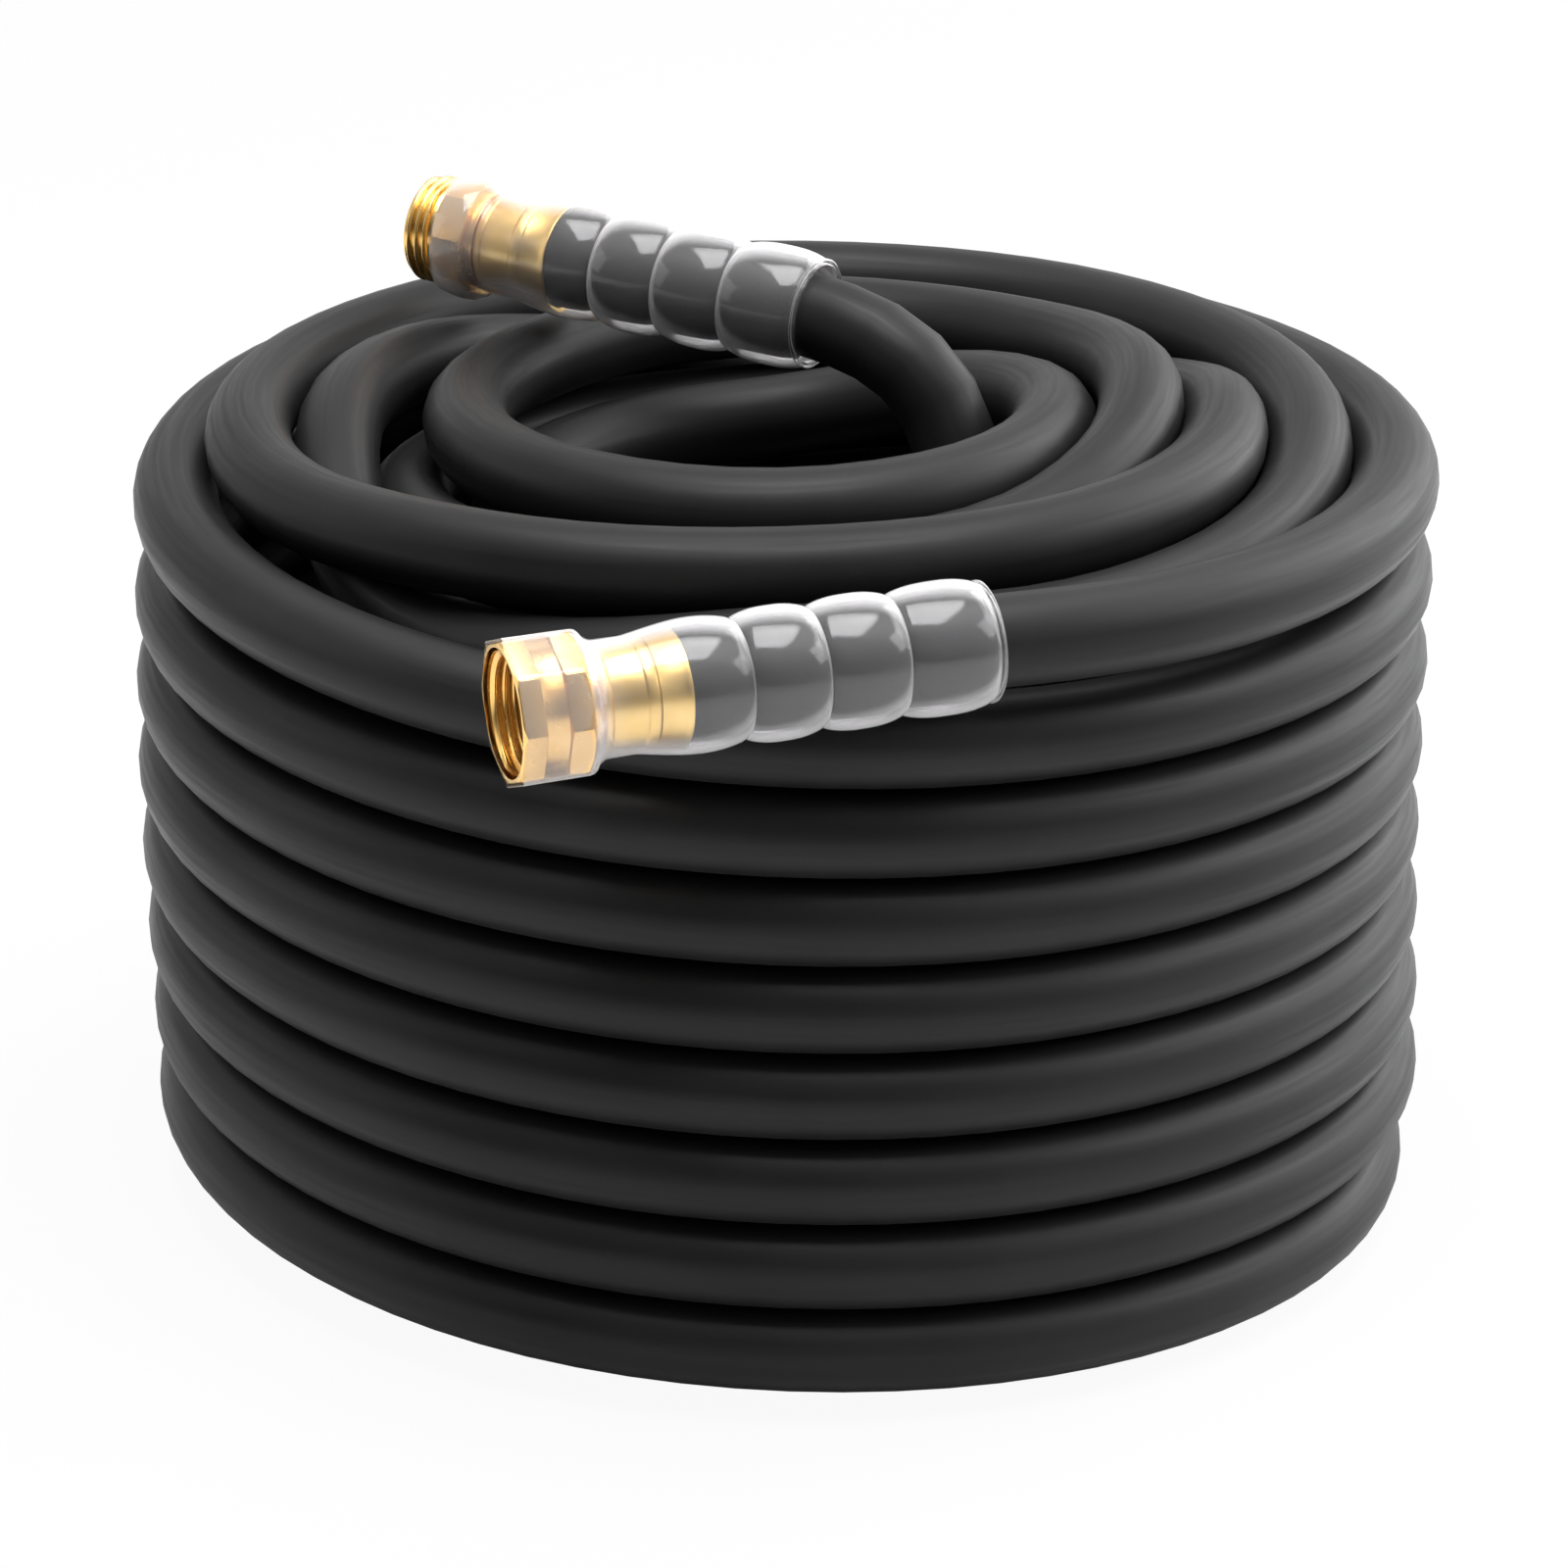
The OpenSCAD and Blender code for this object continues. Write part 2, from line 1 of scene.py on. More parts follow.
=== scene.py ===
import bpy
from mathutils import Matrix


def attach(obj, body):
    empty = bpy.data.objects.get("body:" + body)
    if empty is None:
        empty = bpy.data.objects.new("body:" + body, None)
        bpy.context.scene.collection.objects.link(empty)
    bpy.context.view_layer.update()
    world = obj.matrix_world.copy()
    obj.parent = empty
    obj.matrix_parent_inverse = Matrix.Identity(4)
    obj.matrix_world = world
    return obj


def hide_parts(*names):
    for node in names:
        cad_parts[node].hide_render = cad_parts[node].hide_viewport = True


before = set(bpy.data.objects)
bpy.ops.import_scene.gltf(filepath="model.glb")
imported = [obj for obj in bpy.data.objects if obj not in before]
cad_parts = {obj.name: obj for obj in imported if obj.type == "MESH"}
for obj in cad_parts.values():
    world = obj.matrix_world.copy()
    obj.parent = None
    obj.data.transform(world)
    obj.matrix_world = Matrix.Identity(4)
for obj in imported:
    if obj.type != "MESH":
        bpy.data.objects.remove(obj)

"""A coiled rubber garden hose with two brass couplings under clear ribbed sleeves.

Sizes are written in millimetres in the row's frame: +Z up, the floor at z = 0 and
the axis of the coil at x = y = 0. Turns are counted from the front (-Y),
counter-clockwise seen from above. Meshes are made in metres.
"""

import logging
import math
from dataclasses import dataclass
from enum import Enum

import bmesh
import bpy
import numpy as np
from mathutils import Matrix, Vector

LOG = logging.getLogger("hose_scene")
Piece = bpy.types.Object
Socket = bpy.types.NodeSocket
Material = bpy.types.Material
Rows = np.ndarray
Triple = tuple[float, float, float]
Profile = list[tuple[float, float]]
Stop = tuple[float, Triple]
MM = 0.001
TURN = 2 * math.pi
SMOOTH_SOFT = math.radians(50)
SMOOTH_HARD = math.radians(40)
EDGE_ANGLE = math.radians(28)
LATHE_SIDES = 96
OCTAGON_CORNER = 1 / math.cos(TURN / 16)
# The route is laid out each FINE_STEP mm and each KEEP_EACH-th point is kept. Bends are
# eased over WOUND_EASE, and over LEAD_EASE from LEAD_REACH before the male end.
FINE_STEP = 4.0
KEEP_EACH = 3
WOUND_EASE = 8.0
LEAD_EASE = 16.0
LEAD_REACH = 340
LEAD_BLEND = 60
# Points laid out along each stretch of the route before it is evened out.
END_POINTS, OUTER_POINTS, BACK_POINTS = 22, 660, 608
TOP_POINTS, WELL_POINTS, CLIMB_POINTS = 500, 320, 44
ARCH_STEP = 3.0
# Points on the axis of the male sleeve that lead the arch into it, from its end.
ARCH_GUIDES = (4, 0, -12)


class Body(str, Enum):
    """CAD bodies that pieces ride on."""

    HOSE = "hose"
    SWIVEL = "swivel"


class Slot(str, Enum):
    """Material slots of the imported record."""

    RUBBER = "black_rubber"
    WASHER = "washer_rubber"
    PLASTIC = "white_plastic"
    FITTING = "fitting_brass"
    FERRULE = "ferrule_brass"
    CLEAR = "clear_pvc"


class Solver(str, Enum):
    """Blender's ways to cut one shape from another."""

    EXACT = "EXACT"
    FAST = "FAST"


# ---- sizes ----


@dataclass(frozen=True)
class HoseSize:
    """Cross-section of the hose.

    Attributes:
        outer: Outer diameter.
        bore: Diameter of the bore.
        stem_bore: Bore where a barbed stem stretches it.
        stem_reach: How far that wider bore goes in from the cut end.
        bore_shown: How far the bore is modelled before it is closed off.
        sides: Corners of a ring of the mesh.
    """

    outer: float = 20.8
    bore: float = 15.9
    stem_bore: float = 17.1
    stem_reach: float = 18.0
    bore_shown: float = 60.0
    sides: int = 28

    @property
    def radius(self) -> float:
        """Outer radius."""
        return self.outer / 2


@dataclass(frozen=True)
class CoilSize:
    """Driving sizes of the coil, as in the CAD source.

    Lengths are in millimetres. Fields that end in _turn, _from, _before or _over are
    turns: where a change begins, and over how much of a turn it is spread.
    """

    radius: float = 147.0
    turn_gap: float = 0.45
    outer_turns: float = 8.25
    start_turn: float = 0.047
    front_spring: float = 6.8
    spring_over: float = 0.2
    end_lift: float = 0.9
    end_lift_over: float = 0.25
    first_lift: float = 3.5
    first_lift_from: float = 0.72
    first_lift_over: float = 0.33
    tail_in: float = 21.4
    tail_before: float = 0.63
    tail_over: float = 0.45
    well_step: float = 80.5
    lead_step: float = 23.0
    well_clear: float = 0.6
    male_rise: float = 23.7
    climb_drop: float = 18.8
    column_gap: float = 20.125
    lean: float = 4.1
    lean_from: float = 115.0

    def pitch(self, hose: HoseSize) -> float:
        """Rise from one turn to the next."""
        return hose.outer + self.turn_gap

    def front_z(self, hose: HoseSize) -> float:
        """Height of the middle of the hose where the winding starts."""
        return hose.radius + self.pitch(hose) * self.outer_turns

    @property
    def well_radius(self) -> float:
        """Radius of the turns that line the well."""
        return self.radius - self.well_step

    @property
    def lead_radius(self) -> float:
        """Radius at which the outlet lead climbs in the well."""
        return self.well_radius - self.lead_step


@dataclass(frozen=True)
class CouplingPlace:
    """Where a coupling lies: its own z runs from the mouth to the hose.

    Attributes:
        swing: Turn about the vertical, in degrees.
        tilt: Rise of the direction from the mouth to the hose, in degrees.
        clock: Turn about its own axis, in degrees.
        length: From the mouth to the end of the sleeve.
    """

    swing: float
    tilt: float
    clock: float = 0.0
    length: float = 110.5

    @property
    def direction(self) -> Rows:
        """Unit vector from the mouth to the hose."""
        s, t = math.radians(self.swing), math.radians(self.tilt)
        return np.array([math.cos(s) * math.cos(t), math.sin(s) * math.cos(t), math.sin(t)])

    def mouth(self, end: Rows) -> Rows:
        """Middle of the mouth, for a sleeve that ends at `end`."""
        return end - self.length * self.direction

    def matrix(self, end: Rows) -> Matrix:
        """Works out the position of a piece made on the Z axis in metres.

        Args:
            end: Where the sleeve ends, in millimetres.

        Returns:
            The position.
        """
        return (
            Matrix.Translation(Vector(self.mouth(end) * MM))
            @ Matrix.Rotation(math.radians(self.swing), 4, "Z")
            @ Matrix.Rotation(math.radians(90 - self.tilt), 4, "Y")
            @ Matrix.Rotation(math.radians(self.clock), 4, "Z")
        )


FEMALE_PLACE = CouplingPlace(swing=20.0, tilt=2.5)
MALE_PLACE = CouplingPlace(swing=-27.0, tilt=-2.8, clock=34.0)


@dataclass(frozen=True)
class ThreadSize:
    """Ridge of a garden hose thread, 11.5 turns to the inch.

    Attributes:
        pitch: From one turn to the next.
        foot: Width of its foot, as a share of the pitch.
        crest: Width of its crest.
        depth: From its foot to its crest.
        sink: How far the foot lies inside the wall.
        turns: Whole turns.
        steps: Faces to a turn.
    """

    pitch: float = 2.209
    foot: float = 0.86
    crest: float = 0.45
    depth: float = 1.1
    sink: float = 0.25
    turns: int = 3
    steps: int = 48


@dataclass(frozen=True)
class NutSize:
    """Octagonal swivel nut."""

    flats: float = 30.0
    length: float = 16.2
    band: float = 5.0
    groove: float = 0.7
    wall: float = 3.3
    thread_r: float = 13.6
    thread_len: float = 8.0
    chamber_r: float = 12.8
    neck_hole_r: float = 9.05


@dataclass(frozen=True)
class CollarSize:
    """Male thread and the octagonal collar behind it."""

    thread_r: float = 13.4
    thread_len: float = 8.7
    flats: float = 26.4
    length: float = 8.2

    @property
    def end(self) -> float:
        """Where the collar ends, from the mouth."""
        return self.thread_len + self.length

    @property
    def root(self) -> float:
        """Radius under the ridges of the thread."""
        return self.thread_r - THREAD.depth


@dataclass(frozen=True)
class TailSize:
    """Flange, neck and barbed stem shared by both tailpieces."""

    flange_r: float = 12.6
    flange_t: float = 2.0
    neck_r: float = 9.0
    barb_r: float = 8.5
    barb_cut: float = 0.5
    barbs: int = 5
    water_r: float = 6.5
    stem_len: float = 20.0
    washer_t: float = 2.7
    washer_bore_r: float = 8.2
    disc_r: float = 9.5
    disc_t: float = 1.2
    disc_hole_r: float = 1.5


@dataclass(frozen=True)
class FerruleSize:
    """Crimped ferrule round the end of the hose."""

    length: float = 20.9
    wall: float = 0.6
    front: float = 1.2
    gap: float = 0.2
    ring: float = 0.35
    setback: float = 1.3

    def inside(self, hose: HoseSize) -> float:
        """Inner radius."""
        return hose.radius + self.gap

    def outside(self, hose: HoseSize) -> float:
        """Outer radius."""
        return self.inside(hose) + self.wall


@dataclass(frozen=True)
class SleeveSize:
    """Clear ribbed sleeve.

    Attributes:
        wall: Thickness of the ribbed part.
        film: Thickness of the film over the flats.
        slack: Gap between the film and the flats.
        bulge: Height of a bulge over the hose.
        waist: Height between two bulges.
        throat: Height where the film ends.
        mouth: Height at the open end.
        groove: Depth and half width of the fine groove between two bulges.
        necks: Ends of the bulges, from the mouth of the coupling.
    """

    wall: float = 1.1
    film: float = 0.8
    slack: float = 0.1
    bulge: float = 4.5
    waist: float = 2.9
    throat: float = 2.5
    mouth: float = 2.5
    groove: float = 0.35
    necks: tuple[float, ...] = (27.6, 52.9, 70.35, 88.8, 110.5)


HOSE = HoseSize()
COIL = CoilSize()
THREAD = ThreadSize()
NUT = NutSize()
COLLAR = CollarSize()
TAIL = TailSize()
FERRULE = FerruleSize()
SLEEVE = SleeveSize()
FRONT_Z = COIL.front_z(HOSE)
FEMALE_FERRULE_AT = NUT.length + 2.3
MALE_FERRULE_AT = COLLAR.end + 2.2


# ---- camera ----


@dataclass(frozen=True)
class CameraSize:
    """Camera of the main view: place and target in millimetres."""

    place: Triple = (1.27, -1394.57, 650.31)
    target: Triple = (1.27, 0.0, 96.05)
    lens: float = 139.56
    sensor: float = 36.0
    roll: float = 0.021

    def build(self) -> Piece:
        """Makes the camera and sets it on the scene.

        Returns:
            The camera.
        """
        data = bpy.data.cameras.new("main_camera")
        data.lens, data.sensor_width = self.lens, self.sensor
        data.clip_start, data.clip_end = 0.05, 40.0
        camera = bpy.data.objects.new("main_camera", data)
        bpy.context.scene.collection.objects.link(camera)
        place, target = Vector(self.place) * MM, Vector(self.target) * MM
        look = (target - place).to_track_quat("-Z", "Y").to_matrix().to_4x4()
        camera.matrix_world = Matrix.Translation(place) @ look @ Matrix.Rotation(self.roll, 4, "Z")
        bpy.context.scene.camera = camera
        return camera


# ---- route ----

# Top turns: [turns, inset from the outer winding, rise above the front end].
TOP = (
    (0.5, 26, -22.7), (0.54, 32, -18), (0.58, 36.8, -11), (0.62, 39.8, -5),
    (0.66, 40.5, -0.5), (0.7, 39.8, 1.5), (0.74, 38.8, 1), (0.775, 38.2, -4), (0.81, 35.6, -12),
    (0.85, 32, -18), (0.89, 27.5, -20.2), (0.93, 24, -17.2), (1, 20.6, -7.7),
    (1.1, 20.4, -6.4), (1.16, 20.2, -3.7), (1.2, 20.6, -1.4), (1.25, 20.6, 3.4),
    (1.3, 20.2, 4.8), (1.37, 20, 3.9), (1.5, 20, 1.3), (1.65, 18.5, 0.5),
    (1.72, 17.4, 0.9), (1.75, 17, 0.8), (1.83, 21, 0.1), (1.875, 27, 1.6),
    (1.915, 32.5, 2.3), (2, 38.5, 4.5), (2.11, 37, 7.3), (2.16, 38, 8.1),
    (2.2, 39.6, 8.1), (2.25, 41.7, 7.9), (2.31, 41, -1), (2.375, 41.5, -11), (2.44, 46, -18.5),
    (2.5, 50.5, -22), (2.62, 53.6, -22.5), (2.7, 54.5, -20.7), (2.78, 56.5, -16.9),
    (3, 57.5, -4), (3.1, 58, 0.5), (3.18, 59.8, 8.5), (3.25, 61.5, 13), (3.31, 60, 10.5),
    (3.375, 56, 5.5), (3.44, 51, 2), (3.5, 48, 0.5), (3.54, 50.5, 0.3), (3.58, 55.5, 0.2),
    (3.62, 60, 0), (3.75, 69.2, 1.8), (3.88, 74, 4), (4, 76, 5.6), (4.1, 78.4, 7),
    (4.18, 80.8, 7.4), (4.25, 82, 6.5),
    (4.39, 80.5, -3.4), (4.5, 80.5, -15.9), (4.6, 80.5, -18.4), (4.75, 80.5, -19.2),
    (5, 80.5, -21.2), (5.25, 80.5, -25.2), (5.4, 80.5, -30.1), (5.5, 80.5, -37.5),
    (5.6, 80.5, -42.2),
)
# Hidden turns that rise, sink and rise again behind the outer winding, then pass
# outwards to the start of the top turns: [turns, columns inwards, height].
BACK = (
    (8.75, 1.06, 10.4), (8.87, 1.04, 12.5), (9, 1.02, 17), (9.12, 1, 21.5), (9.25, 1, 26),
    (9.35, 1, 29.2), (9.45, 1, 31.2), (9.6, 1, 34), (10, 1, 42.5), (13.6, 1, 119),
    (13.8, 1, 123.25), (13.95, 1.08, 127), (14.1, 1.5, 130), (14.25, 1.92, 129.6),
    (14.4, 2, 127.4), (14.55, 2, 124), (14.7, 2, 120.5), (14.9, 2, 116.25),
    (19.5, 2, 18.5), (19.7, 2, 14.25), (19.85, 2.08, 11.5), (20, 2.5, 10.4),
    (20.15, 2.92, 10.4), (20.3, 3, 12.6), (20.45, 3, 16.6), (20.6, 3, 20.4),
    (20.8, 3, 24.65), (24.5, 3, 103.275), (24.7, 3, 107.525), (24.9, 3, 114),
    (25.05, 3, 122), (25.2, 2.95, 136), (25.3, 2.4, 146.4), (25.37, 1.8, 150.6),
    (25.43, 1.38, 155), (25.47, 1.24, 160.5), (25.5, 1.292, 163),
)
# Turns that line the well, then step in on its floor: [turns, steps inwards, height].
WELL = (
    (5.75, 0, 141.0125), (5.9, 0, 139.6), (6.1, 0, 137.5), (6.3, 0, 134.8), (6.4, 0, 132),
    (6.5, 0, 127), (6.6, 0, 122.3), (6.7, 0, 119.75), (6.9, 0, 115.5), (11.4, 0, 19.875),
    (11.6, 0, 15.625), (11.75, 0.06, 12.6), (11.9, 0.3, 11), (12.05, 0.65, 10.4),
    (12.2, 0.92, 10.4), (12.35, 1, 10.4), (12.6, 1, 10.4), (12.75, 1, 14), (12.9, 1, 23.5),
    (13.05, 1, 29.6), (13.2, 1, 31.6), (13.4, 1, 31.8), (13.59, 1, 32.25),
)
# Share of the lead's climb inside the well: [turns, share].
CLIMB = (
    (-0.41, 0), (-0.36, 0.02), (-0.3, 0.08), (-0.24, 0.155), (-0.17, 0.26),
    (-0.1, 0.365), (0, 0.535), (0.1, 0.705), (0.2, 0.89), (0.25, 1),
)
# The lead's arch over to the male coupling: [x, y, rise above the front end].
ARCH = (
    (43.8, 5.6, -9.8), (43, 7, -0.8), (40.8, 6.4, 7.7), (36.6, 6, 14.7), (30.6, 7.6, 19.4),
    (23, 12.6, 22.4), (15, 19, 23.4),
)
MALE_END = np.array([7.2, 25.5, FRONT_Z + COIL.male_rise])


def ease(x: Rows | float) -> Rows | float:
    """Smooth step from 0 to 1."""
    c = np.clip(x, 0, 1)
    return c * c * (3 - 2 * c)


def at(turns: Rows, radius: Rows | float, z: Rows | float) -> Rows:
    """Points on the coil.

    Args:
        turns: Turns from the front.
        radius: Distance from the axis.
        z: Height.

    Returns:
        One row [x, y, z] for each turn.
    """
    a = TURN * np.asarray(turns, float)
    one = np.ones_like(a)
    return np.stack([radius * np.sin(a), -radius * np.cos(a), z * one], axis=-1)


def smooth_through(
    stations: Rows, values: Rows, where: Rows, steady: bool = False
) -> Rows:
    """Smooth curve through a table of values.

    Args:
        stations: Rising positions of the rows.
        values: One row of values for each station.
        where: Positions to read.
        steady: True for a curve that never passes beyond its rows.

    Returns:
        One row for each position.
    """
    gaps = np.diff(stations)
    slopes = np.diff(values, axis=0) / gaps[:, None]
    tangent = np.empty_like(values)
    tangent[0], tangent[-1] = slopes[0], slopes[-1]
    before, after = gaps[:-1, None], gaps[1:, None]
    if steady:
        one, two = 2 * after + before, after + 2 * before
        even = slopes[:-1] * slopes[1:] > 1e-9
        safe = np.where(even, one * slopes[1:] + two * slopes[:-1], 1.0)
        tangent[1:-1] = np.where(even, (one + two) * slopes[:-1] * slopes[1:] / safe, 0.0)
    else:
        tangent[1:-1] = (slopes[:-1] * after + slopes[1:] * before) / (before + after)
    i = np.clip(np.searchsorted(stations, where, side="right") - 1, 0, len(gaps) - 1)
    h = gaps[i][:, None]
    u = ((where - stations[i]) / gaps[i])[:, None]
    return (
        (2 * u**3 - 3 * u**2 + 1) * values[i]
        + (u**3 - 2 * u**2 + u) * h * tangent[i]
        + (3 * u**2 - 2 * u**3) * values[i + 1]
        + (u**3 - u**2) * h * tangent[i + 1]
    )


def columns(table: tuple, where: Rows, steady: bool = False) -> Rows:
    """Smooth curves through the columns of a table whose first column is the position."""
    rows = np.array(table, float)
    return smooth_through(rows[:, 0], rows[:, 1:], where, steady).T


def run_along(line: Rows) -> Rows:
    """Distance from the first point to each point of a line."""
    return np.r_[0, np.cumsum(np.linalg.norm(np.diff(line, axis=0), axis=1))]


@dataclass
class HoseRoute:
    """Centreline of the whole hose, from the female coupling to the male one.

    Each stretch takes turns from the front and gives one row [x, y, z] for each.
    """

    coil: CoilSize
    hose: HoseSize

    def __post_init__(self) -> None:
        """Works out the rise of a turn and the height of the front end."""
        self.pitch = self.coil.pitch(self.hose)
        self.front_z = self.coil.front_z(self.hose)

    def outer(self, turns: Rows) -> Rows:
        """Outer winding, from the front end at the top to the floor.

        Args:
            turns: Turns from the front.

        Returns:
            One row [x, y, z] for each turn.
        """
        c = self.coil
        tail = c.outer_turns + 0.5
        radius = (
            c.radius
            + c.front_spring * (1 - ease((turns - c.start_turn) / c.spring_over))
            - c.tail_in * ease((turns - tail + c.tail_before) / c.tail_over)
        )
        z = (
            self.front_z - self.pitch * turns
            + c.first_lift * (1 - ease((turns - c.first_lift_from) / c.first_lift_over))
            + c.end_lift * (1 - ease((turns - c.start_turn) / c.end_lift_over))
        )
        return at(turns, radius, np.maximum(z, self.hose.radius))

    def front_end(self) -> Rows:
        """Where the winding leaves the female sleeve."""
        return self.outer(np.array([self.coil.start_turn]))[0]

    def back(self, turns: Rows) -> Rows:
        """Hidden turns between the tail of the outer winding and the top turns."""
        column, height = columns(BACK, turns, steady=True)
        return at(turns, self.coil.radius - column * self.coil.column_gap, height)

    def top(self, turns: Rows) -> Rows:
        """Loose crossing turns on top."""
        inset, rise = columns(TOP, turns)
        return at(turns, self.coil.radius - inset, self.front_z + rise)

    def well(self, turns: Rows) -> Rows:
        """Turns that line the well down to the floor, and step in there."""
        step, height = columns(WELL, turns, steady=True)
        return at(turns, self.coil.well_radius - step * self.coil.lead_step, height)

    def climb(self, turns: Rows) -> Rows:
        """Outlet lead on its way up the wall of the well.

        Args:
            turns: Turns from the front.

        Returns:
            One row [x, y, z] for each turn.
        """
        low = self.pitch + self.hose.radius + self.coil.well_clear
        high = self.front_z - self.coil.climb_drop
        (share,) = columns(CLIMB, turns)
        return at(turns, self.coil.lead_radius, low + (high - low) * share)

    def arch(self, last: Rows) -> Rows:
        """Lead's arch from its climb to the male sleeve.

        Args:
            last: The last two points of the climb.

        Returns:
            Points after the climb, up to the end of the male sleeve.
        """
        lift = np.array([0, 0, self.front_z])
        male = MALE_PLACE.direction
        arch = (np.array(p) + lift for p in ARCH)
        knots = np.array([*last, *arch, *(MALE_END + step * male for step in ARCH_GUIDES)])
        run = run_along(knots)
        where = np.arange(run[1] + ARCH_STEP, run[-2], ARCH_STEP)
        return smooth_through(run, knots, where)

    def points(self) -> Rows:
        """Lays out the whole centreline evenly and eases its short bends.

        Returns:
            One row [x, y, z] for each ring of the tube, in millimetres.
        """
        knots = self._knots()
        run = run_along(knots)
        even = np.linspace(0, run[-1], round(run[-1] / FINE_STEP / KEEP_EACH) * KEEP_EACH + 1)
        line = np.stack([np.interp(even, run, knots[:, k]) for k in range(3)], axis=1)
        share = ease((even - (run[-1] - LEAD_REACH)) / LEAD_BLEND)[:, None]
        line = self._eased(line, WOUND_EASE) * (1 - share) + self._eased(line, LEAD_EASE) * share
        line[:, 0] += self.coil.lean * ease(1 - line[:, 2] / self.coil.lean_from)
        return line[::KEEP_EACH]

    def _eased(self, line: Rows, spread: float) -> Rows:
        """Averages each point with those near it along the hose.

        Args:
            line: Evenly spaced points.
            spread: How far the average reaches, in millimetres.

        Returns:
            The eased points.
        """
        reach = int(3 * spread / FINE_STEP)
        weights = np.exp(-0.5 * (np.arange(-reach, reach + 1) * FINE_STEP / spread) ** 2)
        weights /= weights.sum()
        steps = np.arange(1, reach + 1)[:, None]
        before = line[0] - (steps * (line[1] - line[0]))[::-1]
        after = line[-1] + steps * (line[-1] - line[-2])
        padded = np.vstack([before, line, after])
        smooth = [np.convolve(padded[:, k], weights, mode="valid") for k in range(3)]
        return np.stack(smooth, axis=1)

    def _knots(self) -> Rows:
        """Lays all stretches of the route end to end.

        Returns:
            One row [x, y, z] for each point, in millimetres.
        """
        face = FERRULE.front + FERRULE.setback
        inlet = np.linspace(FEMALE_FERRULE_AT + face, FEMALE_PLACE.length, END_POINTS)[:-1]
        outlet = np.linspace(MALE_PLACE.length, MALE_FERRULE_AT + face, END_POINTS)
        climb = self.climb(np.linspace(CLIMB[0][0], CLIMB[-1][0], CLIMB_POINTS))
        return np.vstack([
            FEMALE_PLACE.mouth(self.front_end()) + np.outer(inlet, FEMALE_PLACE.direction),
            self.outer(np.linspace(self.coil.start_turn, BACK[0][0], OUTER_POINTS)),
            self.back(np.linspace(BACK[0][0], BACK[-1][0], BACK_POINTS)[1:-1]),
            self.top(np.linspace(TOP[0][0], TOP[-1][0], TOP_POINTS)),
            self.well(np.linspace(TOP[-1][0], WELL[-1][0], WELL_POINTS)[1:-1]),
            climb,
            self.arch(climb[-2:]),
            MALE_PLACE.mouth(MALE_END) + np.outer(outlet, MALE_PLACE.direction),
        ])


# ---- shaping ----


def deselect() -> None:
    """Leaves nothing selected or active in object mode."""
    if bpy.context.object and bpy.context.object.mode != "OBJECT":
        bpy.ops.object.mode_set(mode="OBJECT")
    bpy.ops.object.select_all(action="DESELECT")


def activate(piece: Piece) -> None:
    """Selects one piece and makes it active.

    Args:
        piece: The object to select.
    """
    deselect()
    piece.select_set(True)
    bpy.context.view_layer.objects.active = piece


def apply_modifier(piece: Piece, kind: str, **settings: object) -> None:
    """Adds a modifier, sets it and applies it.

    Args:
        piece: The object to change.
        kind: Blender's name of the modifier type.
        **settings: Values for the modifier's own properties.
    """
    activate(piece)
    modifier = piece.modifiers.new(kind.lower(), kind)
    for name, value in settings.items():
        setattr(modifier, name, value)
    bpy.ops.object.modifier_apply(modifier=modifier.name)


def edit(piece: Piece) -> None:
    """Starts editing a piece with all of it selected.

    Args:
        piece: The object to edit.
    """
    activate(piece)
    bpy.ops.object.mode_set(mode="EDIT")
    bpy.ops.mesh.select_all(action="SELECT")


def close_edit() -> None:
    """Turns all faces outwards and leaves edit mode."""
    bpy.ops.mesh.select_all(action="SELECT")
    bpy.ops.mesh.normals_make_consistent(inside=False)
    bpy.ops.object.mode_set(mode="OBJECT")


def smooth(piece: Piece, angle: float) -> None:
    """Shades a piece smooth where its faces meet at less than an angle."""
    activate(piece)
    bpy.ops.object.shade_smooth_by_angle(angle=angle)


def soften(piece: Piece, edge: float, segments: int = 2) -> Piece:
    """Rounds the sharp edges of a piece and shades it smooth.

    Args:
        piece: The object to change.
        edge: Width of the rounding, in millimetres.
        segments: Faces across the rounding.

    Returns:
        The same piece.
    """
    apply_modifier(
        piece, "BEVEL", width=edge * MM, segments=segments, limit_method="ANGLE",
        angle_limit=EDGE_ANGLE, use_clamp_overlap=True, miter_outer="MITER_ARC",
    )
    smooth(piece, SMOOTH_HARD)
    return piece


def place(piece: Piece, matrix: Matrix) -> None:
    """Lays a piece in position and keeps where its points were, for its material.

    Args:
        piece: The object to lay.
        matrix: Its position.
    """
    mesh = piece.data
    layer = mesh.attributes.new("turned", "FLOAT_VECTOR", "POINT")
    flat = np.empty(len(mesh.vertices) * 3)
    mesh.vertices.foreach_get("co", flat)
    layer.data.foreach_set("vector", flat)
    activate(piece)
    piece.matrix_world = matrix
    bpy.ops.object.transform_apply(location=True, rotation=True, scale=True)


